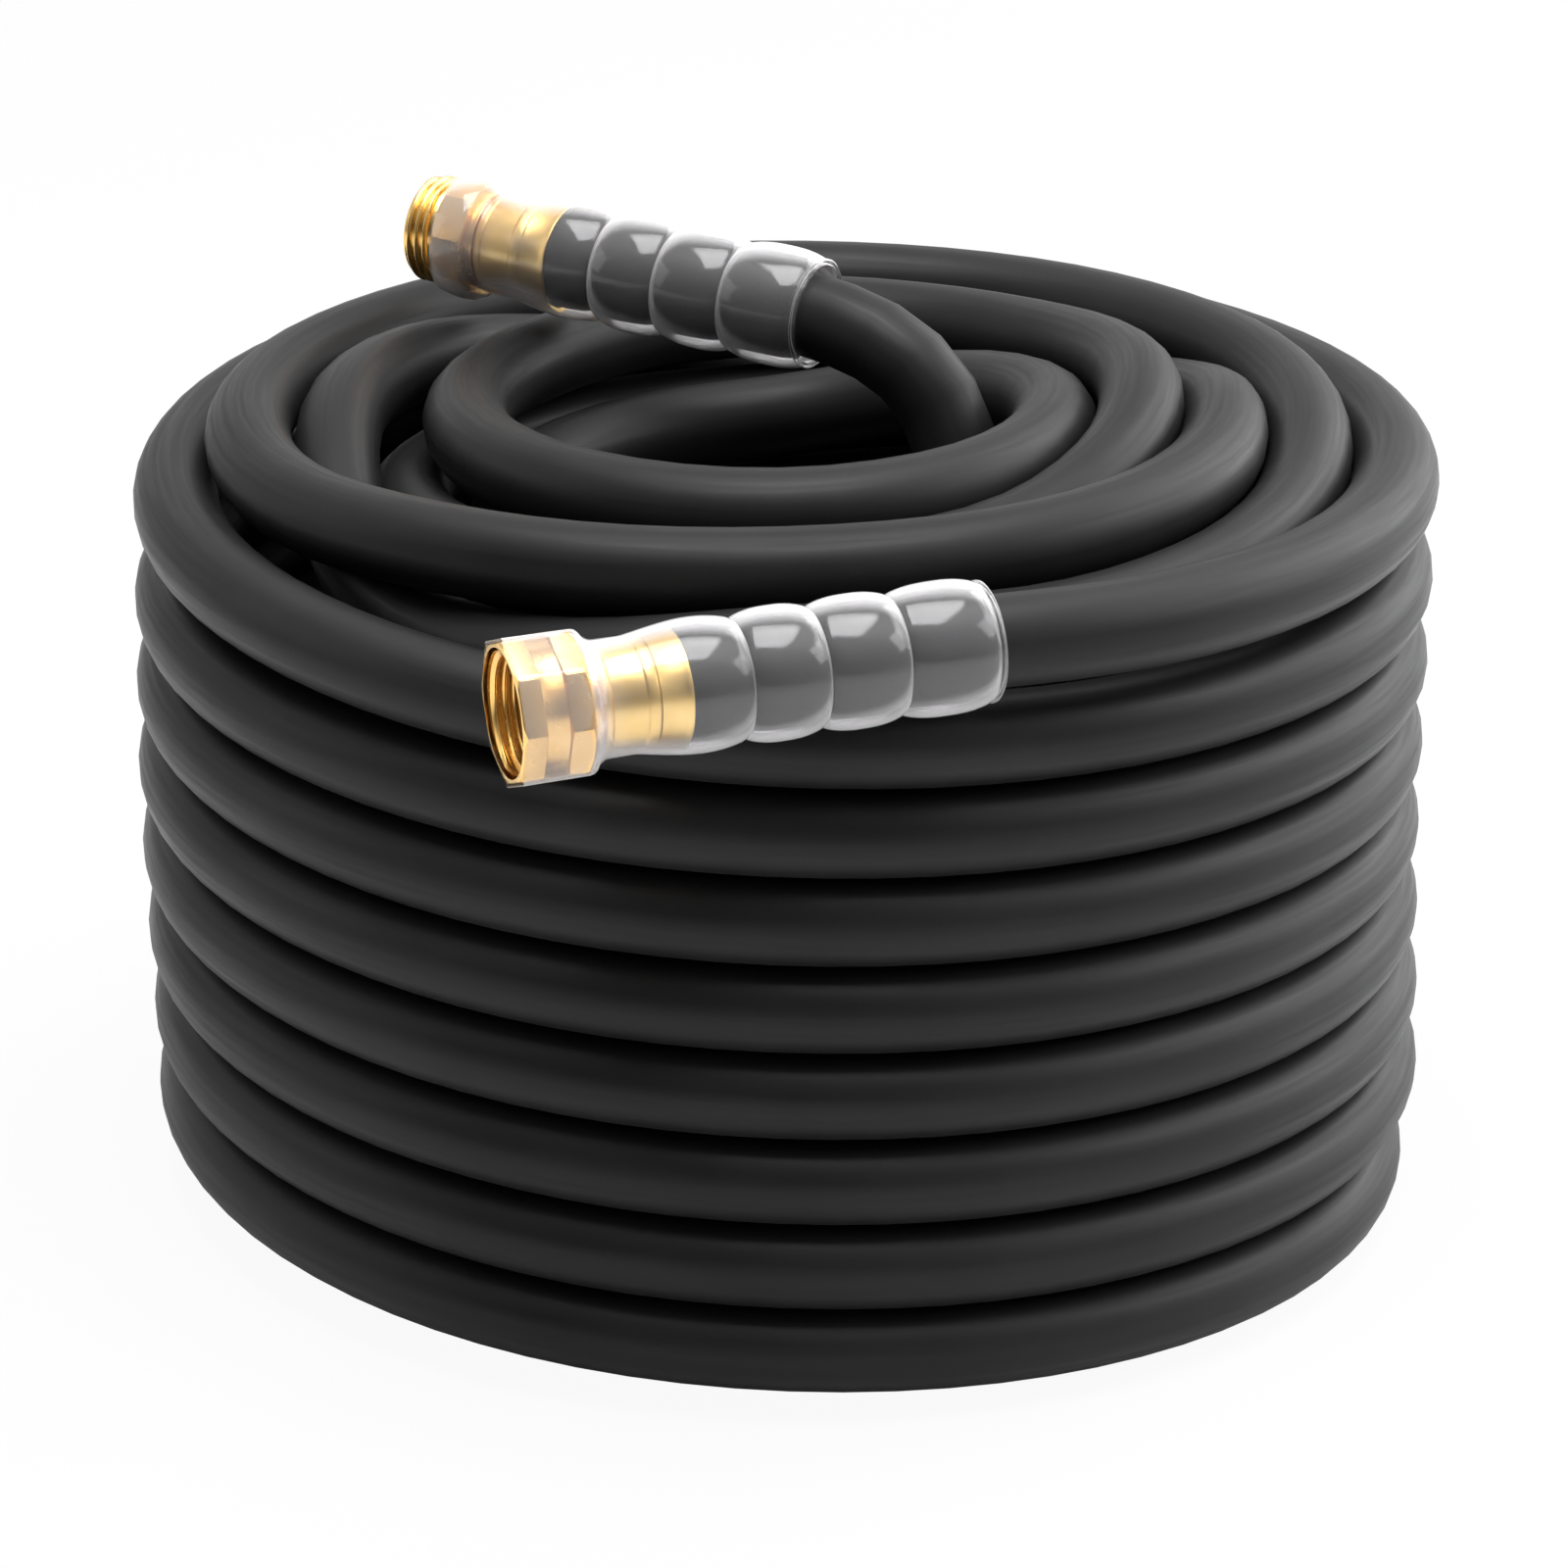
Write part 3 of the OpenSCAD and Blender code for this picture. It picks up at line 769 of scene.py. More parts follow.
class Lathe:
    """Shapes a hollow piece on the Z axis by extruding and scaling loops of edges.

    A loop is round, or an octagon that later stations may round off.
    """

    def __init__(self, name: str) -> None:
        """Starts with nothing.

        Args:
            name: Name of the piece.
        """
        self.name = name
        self.piece: Piece | None = None
        self.mesh: bmesh.types.BMesh | None = None
        self.height = 0.0
        self.ends: list[list[int]] = []

    def _chosen(self) -> list[bmesh.types.BMVert]:
        """Points of the loop in hand."""
        self.mesh = bmesh.from_edit_mesh(self.piece.data)
        return [v for v in self.mesh.verts if v.select]

    def _least_radius(self) -> float:
        """Least distance of the loop in hand from the axis, in metres."""
        return min(math.hypot(v.co.x, v.co.y) for v in self._chosen())

    def note(self) -> None:
        """Notes the loop in hand as an end of a skin."""
        chosen = self._chosen()
        self.mesh.verts.index_update()
        self.ends.append([v.index for v in chosen])

    def begin(self, radius: float, z: float, octagon: bool = False) -> None:
        """Starts a loop.

        Args:
            radius: Radius, or half the width across flats of an octagon.
            z: Height along the axis.
            octagon: True for an octagon.
        """
        corners = 8 if octagon else LATHE_SIDES
        size = radius * MM * (OCTAGON_CORNER if octagon else 1.0)
        options = {"vertices": corners, "radius": size, "fill_type": "NOTHING"}
        if self.piece is None:
            deselect()
            bpy.ops.mesh.primitive_circle_add(location=(0, 0, 0), **options)
            self.piece = bpy.context.object
            self.piece.name = self.piece.data.name = self.name
            bpy.ops.object.mode_set(mode="EDIT")
            bpy.ops.mesh.select_all(action="SELECT")
            bpy.ops.transform.translate(value=(0, 0, z * MM))
        else:
            bpy.ops.mesh.select_all(action="DESELECT")
            bpy.ops.mesh.primitive_circle_add(location=(0, 0, z * MM), **options)
        if octagon:
            bpy.ops.mesh.subdivide(number_cuts=LATHE_SIDES // 8 - 1)
        self.height = z
        self.note()

    def to(self, radius: float, z: float, roundness: float = 0.0) -> None:
        """Carries the loop on to the next station.

        Args:
            radius: Least radius of the new loop.
            z: Its height along the axis.
            roundness: How far the corners are rounded off, from 0 to 1.
        """
        bpy.ops.mesh.extrude_edges_move(
            TRANSFORM_OT_translate={"value": (0, 0, (z - self.height) * MM)}
        )
        if roundness:
            bpy.ops.transform.tosphere(value=roundness)
        k = radius * MM / self._least_radius()
        bpy.ops.transform.resize(value=(k, k, 1), center_override=(0, 0, z * MM))
        self.height = z

    def path(self, stations: Profile) -> None:
        """Makes one skin through all stations.

        Args:
            stations: [radius, height] of each loop, in millimetres.
        """
        self.begin(*stations[0])
        for radius, z in stations[1:]:
            self.to(radius, z)
        self.note()

    def bridge(self, first: int, second: int) -> None:
        """Joins two noted loops by a band of faces.

        Args:
            first: Number of the one loop, in the order of noting.
            second: Number of the other.
        """
        mesh = bmesh.from_edit_mesh(self.piece.data)
        bpy.ops.mesh.select_all(action="DESELECT")
        mesh.verts.ensure_lookup_table()
        for i in (*self.ends[first], *self.ends[second]):
            mesh.verts[i].select = True
        mesh.select_flush(True)
        for e in mesh.edges:
            e.select = e.verts[0].select and e.verts[1].select and len(e.link_faces) == 1
        bmesh.update_edit_mesh(self.piece.data)
        bpy.ops.mesh.bridge_edge_loops()

    def finish(self) -> Piece:
        """Turns all faces outwards and leaves edit mode."""
        close_edit()
        return self.piece


def turned(
    name: str, stations: Profile, edge: float, segments: int = 2, flats: float = 0.0,
    solver: Solver = Solver.EXACT,
) -> Piece:
    """Turns a closed ring from its profile and rounds its edges.

    Args:
        name: Name of the piece.
        stations: [radius, height] round the section, in millimetres.
        edge: Width of the rounding.
        segments: Faces across the rounding.
        flats: Width across flats of the octagonal bar that it is cut from; 0 for a round one.
        solver: How it is cut.

    Returns:
        The piece, on the Z axis.
    """
    lathe = Lathe(name)
    lathe.path(stations)
    lathe.bridge(0, 1)
    piece = lathe.finish()
    if flats:
        heights = [z for _, z in stations]
        cut_from_bar(piece, flats, min(heights) - 1, max(heights) + 1, solver)
    return soften(piece, edge, segments)


def cut_from_bar(piece: Piece, flats: float, low: float, high: float, solver: Solver) -> None:
    """Leaves what a piece and a length of octagonal bar have in common.

    Args:
        piece: The object to cut, on the Z axis.
        flats: Width across flats.
        low: Height of the lower end of the bar.
        high: Height of its upper end.
        solver: How it is cut.
    """
    deselect()
    bpy.ops.mesh.primitive_cylinder_add(
        vertices=8, radius=flats / 2 * OCTAGON_CORNER * MM,
        depth=(high - low) * MM, location=(0, 0, (low + high) / 2 * MM),
    )
    bar = bpy.context.object
    bpy.ops.object.transform_apply(location=True)
    apply_modifier(piece, "BOOLEAN", operation="INTERSECT", solver=solver.value, object=bar)
    bpy.data.objects.remove(bar)


def thread_ridge(
    name: str, root: float, crest: float, start: float, clock: float = 0.0
) -> Piece:
    """Makes the helical ridge of a thread, with its ends run out.

    Args:
        name: Name of the piece.
        root: Radius of the wall that the ridge stands on.
        crest: Radius of its crest, inside or outside the wall.
        start: Height of its first turn, in millimetres.
        clock: Where it starts round the axis, in degrees.

    Returns:
        The ridge, on the Z axis.
    """
    sink = THREAD.sink if crest > root else -THREAD.sink
    foot = THREAD.pitch * THREAD.foot
    deselect()
    bpy.ops.mesh.primitive_plane_add(size=1.0, location=(0, 0, 0), rotation=(math.pi / 2, 0, 0))
    ridge = bpy.context.object
    ridge.name = ridge.data.name = name
    bpy.ops.object.transform_apply(location=True, rotation=True)
    middle, width = (root - sink + crest) / 2, abs(crest - root + sink)
    edit(ridge)
    bpy.ops.transform.resize(value=(width * MM, 1, foot * MM), center_override=(0, 0, 0))
    bpy.ops.transform.translate(value=(middle * MM, 0, start * MM))
    mesh = bmesh.from_edit_mesh(ridge.data)
    for v in mesh.verts:
        v.select = abs(v.co.x - crest * MM) < 1e-6
    mesh.select_flush(True)
    mesh.select_flush(False)
    bmesh.update_edit_mesh(ridge.data)
    bpy.ops.transform.resize(value=(1, 1, THREAD.crest / foot), center_override=(0, 0, start * MM))
    bpy.ops.mesh.select_all(action="SELECT")
    bpy.ops.mesh.delete(type="ONLY_FACE")
    bpy.ops.object.mode_set(mode="OBJECT")
    apply_modifier(
        ridge, "SCREW", angle=TURN, screw_offset=THREAD.pitch * MM, iterations=THREAD.turns,
        steps=THREAD.steps, render_steps=THREAD.steps, use_normal_calculate=True,
    )
    edit(ridge)
    bpy.ops.mesh.fill_holes(sides=4)
    close_edit()
    run_out(ridge, root, start)
    activate(ridge)
    ridge.rotation_euler.z = math.radians(clock)
    bpy.ops.object.transform_apply(rotation=True)
    return ridge


def run_out(ridge: Piece, root: float, start: float) -> None:
    """Sinks the first and last eighth of a turn of a ridge into its wall.

    Args:
        ridge: The ridge, on the Z axis.
        root: Radius of the wall.
        start: Height of its first turn, in millimetres.
    """
    pitch, wall = THREAD.pitch * MM, root * MM
    for v in ridge.data.vertices:
        part = math.atan2(v.co.y, v.co.x) % TURN / TURN
        turn = round((v.co.z - part * pitch - start * MM) / pitch)
        along = (turn + part) * pitch
        share = min(1.0, max(0.0, min(along, THREAD.turns * pitch - along) / (pitch / 8)))
        radius = math.hypot(v.co.x, v.co.y)
        k = (wall + (radius - wall) * share) / radius
        v.co.x *= k
        v.co.y *= k


# ---- finishes ----


class Nodes:
    """Short calls that build the nodes of one tree."""

    def __init__(self, tree: bpy.types.NodeTree) -> None:
        """Takes the tree to build in."""
        self.tree = tree

    def add(
        self, kind: str, inputs: dict[int | str, object], out: int | str = 0, **settings: object
    ) -> Socket:
        """Adds a node and feeds it.

        Args:
            kind: End of Blender's name of its type.
            inputs: Socket or plain value for each input, by its name or number.
            out: Name or number of the output that is wanted.
            **settings: Values for the node's own properties.

        Returns:
            The output.
        """
        made = self.tree.nodes.new("ShaderNode" + kind)
        for name, value in settings.items():
            setattr(made, name, value)
        for name, source in inputs.items():
            if isinstance(source, Socket):
                self.tree.links.new(source, made.inputs[name])
            else:
                made.inputs[name].default_value = source
        return made.outputs[out]

    def work(self, operation: str, first: Socket, second: Socket | float) -> Socket:
        """Works out one number from two."""
        return self.add("Math", {0: first, 1: second}, operation=operation)

    def rescale(
        self, value: Socket, low: Socket | float, high: float, start: float = 0.3, end: float = 0.7
    ) -> Socket:
        """Maps a value from [start, end] to [low, high]."""
        ends = {"From Min": start, "From Max": end, "To Min": low, "To Max": high}
        return self.add("MapRange", {"Value": value, **ends}, "Result")

    def seen_straight(self) -> Socket:
        """Tells what is seen straight from what is reflected.

        Returns:
            1 for camera rays, also through clear plastic, and 0 for reflections.
        """
        unmirrored = self.work("LESS_THAN", self.add("LightPath", {}, "Glossy Depth"), 0.5)
        passing = self.add("LightPath", {}, "Is Transmission Ray")
        through = self.work("MULTIPLY", passing, unmirrored)
        return self.work("MAXIMUM", self.add("LightPath", {}, "Is Camera Ray"), through)


class Shader(Nodes):
    """Builds the nodes of one material."""

    def __init__(self, name: str) -> None:
        """Makes the material and its empty tree.

        Args:
            name: Name of the material.
        """
        self.material = bpy.data.materials.new(name)
        self.material.use_nodes = True
        super().__init__(self.material.node_tree)
        self.tree.nodes.clear()
        self.out = self.tree.nodes.new("ShaderNodeOutputMaterial").inputs["Surface"]
        self.coords = self.add("TexCoord", {}, "Object")

    def principled(self, **inputs: object) -> Material:
        """Finishes the material with the surface shader.

        Args:
            **inputs: Sockets and plain values, with _ for a space in an input's name.

        Returns:
            The material.
        """
        named = {name.replace("_", " "): source for name, source in inputs.items()}
        self.tree.links.new(self.add("BsdfPrincipled", named), self.out)
        return self.material

    def attribute(self, name: str) -> Socket:
        """Reads a vector that the mesh carries."""
        return self.add("Attribute", {}, "Vector", attribute_name=name)

    def noise(self, scale: float, detail: float = 3.0, where: Socket | None = None) -> Socket:
        """Noise with `scale` cells to the metre."""
        inputs = {"Scale": scale, "Detail": detail, "Vector": where or self.coords}
        return self.add("TexNoise", inputs, "Fac")

    def ramp(self, value: Socket, dark: Stop, light: Stop) -> Socket:
        """Colours a value between two stops.

        Args:
            value: The value.
            dark: Position and colour of the first stop.
            light: Position and colour of the second.

        Returns:
            The colour.
        """
        colour = self.add("ValToRGB", {"Fac": value}, "Color")
        for element, (position, shade) in zip(colour.node.color_ramp.elements, (dark, light)):
            element.position, element.color = position, (*shade, 1.0)
        return colour

    def stretched(self, source: Socket, scale: Triple) -> Socket:
        """Stretches coordinates before a texture reads them."""
        return self.add("Mapping", {"Vector": source, "Scale": scale}, "Vector")

    def bump(
        self, height: Socket, depth: float, strength: float, under: Socket | None = None
    ) -> Socket:
        """Turns a height into a normal.

        Args:
            height: The height, from 0 to 1.
            depth: What 1 stands for, in millimetres.
            strength: Share of it that shows.
            under: Normal of a bump beneath.

        Returns:
            The normal.
        """
        inputs = {"Height": height, "Distance": depth * MM, "Strength": strength}
        if under:
            inputs["Normal"] = under
        return self.add("Bump", inputs, "Normal")


@dataclass(frozen=True)
class RubberFinish:
    """Extruded black rubber: satin, with faint grain and handling marks."""

    name: str = "hose_rubber"
    dark: Triple = (0.0105, 0.0105, 0.0109)
    light: Triple = (0.0155, 0.0155, 0.016)
    roughness: tuple[float, float] = (0.4, 0.54)
    shine: float = 0.2
    mark_cells: float = 26
    streak_cells: float = 700
    streak_length: float = 0.03
    grain_cells: float = 2600

    def build(self) -> Material:
        """Makes the material.

        Returns:
            The material.
        """
        s = Shader(self.name)
        along = s.stretched(s.attribute("along"), (1.0, 1.0, self.streak_length))
        streaks = s.noise(self.streak_cells, 3, along)
        lines = s.bump(streaks, 0.03, 0.4)
        marks = s.noise(self.mark_cells, 5)
        return s.principled(
            Base_Color=s.ramp(marks, (0.35, self.dark), (0.7, self.light)),
            Specular_IOR_Level=self.shine,
            Roughness=s.rescale(streaks, *self.roughness),
            Normal=s.bump(s.noise(self.grain_cells, 2), 0.012, 0.6, lines),
        )


@dataclass(frozen=True)
class BrassFinish:
    """Machined brass with turning lines and a little tarnish."""

    name: str
    dark: Triple
    light: Triple
    roughness: tuple[float, float]
    lines: float
    tarnish_cells: float = 140
    wear_cells: float = 420
    line_cells: float = 2600

    def build(self) -> Material:
        """Makes the material.

        Returns:
            The material.
        """
        s = Shader(self.name)
        tarnish = s.noise(self.tarnish_cells, 4)
        rings = s.stretched(s.attribute("turned"), (0.0, 0.0, 1.0))
        return s.principled(
            Base_Color=s.ramp(tarnish, (0.3, self.dark), (0.62, self.light)),
            Metallic=1.0,
            Roughness=s.rescale(s.noise(self.wear_cells, 3), *self.roughness),
            Normal=s.bump(s.noise(self.line_cells, 2, rings), self.lines, 0.5),
        )


@dataclass(frozen=True)
class ClearFinish:
    """Soft clear plastic: a grey haze towards its edges, and milkier where it grips metal.

    Attributes:
        face_on: Clearness where it is seen face on.
        edge_on: Clearness where it is seen edge on.
        facing: Slants between which the one passes into the other.
        gripping: Share of the clearness that is left where it grips metal.
        grip_ends: Where the grip begins and ends to fade, from the mouth in metres.
    """

    name: str = "clear_sleeve"
    colour: tuple[float, float, float, float] = (0.93, 0.92, 0.93, 1.0)
    face_on: float = 0.965
    edge_on: float = 0.12
    facing: tuple[float, float] = (0.32, 0.97)
    gripping: float = 0.93
    grip_ends: tuple[float, float] = (0.017, 0.025)
    ripple_cells: float = 110

    def build(self) -> Material:
        """Makes the material.

        Returns:
            The material.
        """
        s = Shader(self.name)
        slant = s.add("LayerWeight", {"Blend": 0.5}, "Facing")
        clear = s.rescale(slant, self.face_on, self.edge_on, *self.facing)
        height = s.add("SeparateXYZ", {0: s.attribute("turned")}, "Z")
        film = s.rescale(height, self.gripping, 1.0, *self.grip_ends)
        return s.principled(
            Base_Color=self.colour, IOR=1.08, Roughness=0.09, Coat_Weight=1.0,
            Coat_Roughness=0.13, Coat_IOR=1.355,
            Transmission_Weight=s.work("MULTIPLY", clear, film),
            Coat_Normal=s.bump(s.noise(self.ripple_cells, 2), 0.04, 0.25),
        )


@dataclass(frozen=True)
class MouldedFinish:
    """Plain moulded plastic or rubber for small parts."""

    name: str
    dark: Triple
    light: Triple
    roughness: tuple[float, float]
    mottle_cells: float = 90
    wear_cells: float = 200
    grain_cells: float = 700

    def build(self) -> Material:
        """Makes the material.

        Returns:
            The material.
        """
        s = Shader(self.name)
        mottle = s.noise(self.mottle_cells, 4)
        return s.principled(
            Base_Color=s.ramp(mottle, (0.3, self.dark), (0.7, self.light)),
            Roughness=s.rescale(s.noise(self.wear_cells, 2), *self.roughness),
            Normal=s.bump(s.noise(self.grain_cells, 2), 0.03, 0.5),
        )


@dataclass(frozen=True)
class StageFinish:
    """Pale floor: near white to the camera, and it keeps the shadow."""

    name: str = "pale_floor"
    colour: tuple[float, float, float, float] = (0.7, 0.7, 0.7, 1.0)
    white_share: float = 0.94

    def build(self) -> Material:
        """Makes the material.

        Returns:
            The material.
        """
        s = Shader(self.name)
        share = s.work("MULTIPLY", s.seen_straight(), self.white_share)
        matt, white = s.add("BsdfDiffuse", {"Color": self.colour}), s.add("Emission", {})
        s.tree.links.new(s.add("MixShader", {0: share, 1: matt, 2: white}), s.out)
        return s.material


class Finishes:
    """All materials, made once: one for each slot, and the floor's."""

    def __init__(self) -> None:
        """Makes the materials."""
        self.slots = {
            Slot.RUBBER: RubberFinish().build(),
            Slot.FITTING: BrassFinish(
                "fitting_brass", (0.82, 0.5, 0.15), (0.9, 0.58, 0.2), (0.22, 0.28), 0.003
            ).build(),
            Slot.FERRULE: BrassFinish(
                "ferrule_brass", (0.84, 0.56, 0.17), (0.92, 0.65, 0.24), (0.3, 0.38), 0.004
            ).build(),
            Slot.CLEAR: ClearFinish().build(),
            Slot.WASHER: MouldedFinish(
                "washer_rubber", (0.012,) * 3, (0.03,) * 3, (0.6, 0.75)
            ).build(),
            Slot.PLASTIC: MouldedFinish(
                "disc_plastic", (0.72, 0.72, 0.7), (0.84, 0.84, 0.82), (0.4, 0.5)
            ).build(),
        }
        self.floor = StageFinish().build()


@dataclass
class Part:
    """A finished piece with what it rides on and replaces."""

    piece: Piece
    body: Body
    slot: Slot
    nodes: tuple[str, ...]

    def register(self, finishes: Finishes) -> None:
        """Gives the piece its finish, ties it to the frame and reports it.

        Args:
            finishes: The materials by slot.
        """
        mesh = self.piece.data
        mesh.materials.clear()
        mesh.materials.append(finishes.slots[self.slot])
        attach(self.piece, self.body.value)
        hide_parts(*self.nodes)
        LOG.info("%s: %d faces on %s", self.piece.name, len(mesh.polygons), self.body.value)


# ---- hose ----


@dataclass
class Hose:
    """The whole hose as one tube with an open bore at both cut ends."""

    size: HoseSize
    centre: Rows

    def __post_init__(self) -> None:
        """Works out the run along the hose and the directions across it."""
        self.run = run_along(self.centre)
        self.across = self._frames()

    @property
    def length(self) -> float:
        """Length of the centreline, in metres."""
        return float(np.linalg.norm(np.diff(self.centre, axis=0), axis=1).sum()) * MM

    def _frames(self) -> tuple[Rows, Rows]:
        """Carries two directions across the hose along it without twist.

        Returns:
            One row of each direction for each point.
        """
        p = self.centre
        heading = np.gradient(p, axis=0)
        heading /= np.linalg.norm(heading, axis=1)[:, None]
        side = np.cross(heading[0], [0, 0, 1.0])
        sides = np.empty_like(p)
        for i, t in enumerate(heading):
            side = side - side.dot(t) * t
            side = side / np.linalg.norm(side)
            sides[i] = side
        return sides, np.cross(heading, sides)

    def _ring(self, i: int, radius: float) -> Rows:
        """Lays a ring round the centreline.

        Args:
            i: Point of the centreline.
            radius: Radius of the ring.

        Returns:
            One row for each corner.
        """
        a = np.arange(self.size.sides) / self.size.sides * TURN
        return (
            self.centre[i]
            + radius * np.outer(np.cos(a), self.across[0][i])
            + radius * np.outer(np.sin(a), self.across[1][i])
        )

    def _bore(self, way: int) -> list[Rows]:
        """Lays the rings of the bore, from a cut end inwards.

        Args:
            way: 1 for the bore at the start, -1 for the one at the end.

        Returns:
            The rings.
        """
        i = 0 if way > 0 else len(self.centre) - 1
        run, rings = 0.0, []
        while run < self.size.bore_shown:
            bore = self.size.stem_bore if run < self.size.stem_reach else self.size.bore
            rings.append(self._ring(i, bore / 2))
            run += float(np.linalg.norm(self.centre[i + way] - self.centre[i]))
            i += way
        return rings

    def build(self) -> Part:
        """Makes the tube, with its run along the hose kept as an attribute.

        Returns:
            The tube, which takes the place of all six nodes of the hose.
        """
        n = self.size.sides
        skin = [self._ring(i, self.size.radius) for i in range(len(self.centre))]
        start, end = self._bore(1), self._bore(-1)
        rings = [*start[::-1], *skin, *end]
        spans = [*self.run[: len(start)][::-1], *self.run, *self.run[-len(end):][::-1]]
        faces = []
        for r in range(len(rings) - 1):
            for k in range(n):
                a, b = r * n + k, r * n + (k + 1) % n
                faces.append((a, b, b + n, a + n))
        last = (len(rings) - 1) * n
        faces.append(tuple(range(n))[::-1])
        faces.append(tuple(range(last, last + n)))
        mesh = bpy.data.meshes.new("rubber_hose")
        mesh.from_pydata((np.vstack(rings) * MM).tolist(), [], faces)
        a = np.tile(np.arange(n) / n * TURN, len(rings))
        radius = self.size.radius
        along = np.stack([np.cos(a) * radius, np.sin(a) * radius, np.repeat(spans, n)], -1)
        layer = mesh.attributes.new("along", "FLOAT_VECTOR", "POINT")
        layer.data.foreach_set("vector", (along * MM).ravel())
        piece = bpy.data.objects.new("rubber_hose", mesh)
        bpy.context.scene.collection.objects.link(piece)
        edit(piece)
        close_edit()
        smooth(piece, SMOOTH_SOFT)
        return Part(
            piece, Body.HOSE, Slot.RUBBER,
            ("hose_core", "hose_outer_turns", "hose_top_turns", "hose_outlet_lead",
             "hose_inlet_end", "hose_outlet_end"),
        )


# ---- couplings ----

# How the film leaves the flats: [radius from the film, height from its end, roundness].
FILM_END = ((0, -1.6, 0.1), (-0.05, -0.6, 0.2), (-0.45, 0.3, 0.35), (-1.2, 1.1, 0.7))
# Rolled open end of a sleeve: [radius from the mouth, height from the end].
SLEEVE_RIM = ((0.3, -1.3), (0.75, -0.9), (0.75, -0.3), (0.4, 0))


@dataclass
class Sleeve:
    """Clear sleeve: a film over the flats, then four round bulges.

    Attributes:
        name: Name of the piece.
        flats: Width across flats.
        start: Where the film begins, from the mouth.
        flats_end: Where the flats end, from the mouth.
        swell: Most that a round film stands off the flats; 0 for one that keeps to them.
        size: Sizes of the sleeve.
    """

    name: str
    flats: float
    start: float
    flats_end: float
    swell: float = 0.0
    size: SleeveSize = SLEEVE

    def __post_init__(self) -> None:
        """Works out the radii from their heights over the hose."""
        self.throat = HOSE.radius + self.size.throat
        self.waist = HOSE.radius + self.size.waist
        self.bulge = HOSE.radius + self.size.bulge
        self.mouth = HOSE.radius + self.size.mouth

    def _bulges(self, count: int) -> Profile:
        """Draws the outline from the throat to the open end.

        Args:
            count: Stations to a bulge.

        Returns:
            [radius, height] of each station.
        """
        necks, groove, neck = self.size.necks, self.size.groove, self.waist
        stations = [(self.throat, necks[0])]
        for i in range(4):
            low, high = necks[i], necks[i + 1]
            for k in range(1, count + 1):
                u = k / count
                if i == 0:
                    base = self.throat + (self.waist - self.throat) * u
                    share = max(0.0, math.sin(math.pi * u**1.45)) ** 0.8
                else:
                    base = self.mouth if i == 3 and u >= 0.5 else self.waist
                    share = 1 - abs(2 * u - 1) ** 2.6
                stations.append((base + (self.bulge - base) * share, low + (high - low) * u))
            if i < 3:
                stations[-1:] = [
                    (neck + 0.02, high - groove), (neck - groove, high),
                    (neck + 0.02, high + groove),
                ]
        stations[-1:] = [(self.mouth + r, necks[-1] + z) for r, z in SLEEVE_RIM]
        return stations

    def _skin(self, lathe: Lathe, inset: float, film: float, count: int) -> None:
        """Makes one skin from the front edge of the film to the open end.

        Args:
            lathe: The lathe that shapes the sleeve.
            inset: How far the ribbed part lies under the outer skin.
            film: How far the film lies over the inner skin.
            count: Stations to a bulge.
        """
        flat = self.flats / 2 + self.size.slack + film
        end = self.flats_end + film
        throat = self.throat - inset
        if self.swell:
            span = end + 4.2 - self.start
            lathe.begin(flat + self.swell * 0.55, self.start)
            for u in np.linspace(0, 1, 17)[1:]:
                stand = 0.55 + 0.45 * math.sin(math.pi * min(1.0, u / 0.8))
                body = flat + self.swell * stand
                radius = body + (throat + 0.1 - body) * ease((u - 0.62) / 0.36)
                lathe.to(radius, self.start + span * float(u))
        else:
            lathe.begin(flat, self.start, octagon=True)
            for out, up, roundness in FILM_END:
                lathe.to(flat + out, end + up, roundness)
            lathe.to(throat + (flat - throat) * 0.42, end + 2.0, roundness=1.0)
            lathe.to(throat + 0.5, end + 3.0, roundness=1.0)
            lathe.to(throat + 0.1, end + 4.2)
        for radius, z in self._bulges(count):
            lathe.to(radius - inset, z)
        lathe.note()

    def build(self) -> Piece:
        """Makes both skins and closes them at both ends.

        Returns:
            The sleeve, on the Z axis.
        """
        lathe = Lathe(self.name)
        self._skin(lathe, 0.0, self.size.film, 14)
        self._skin(lathe, self.size.wall, 0.0, 10)
        lathe.bridge(0, 2)
        lathe.bridge(1, 3)
        piece = lathe.finish()
        smooth(piece, SMOOTH_SOFT)
        return piece


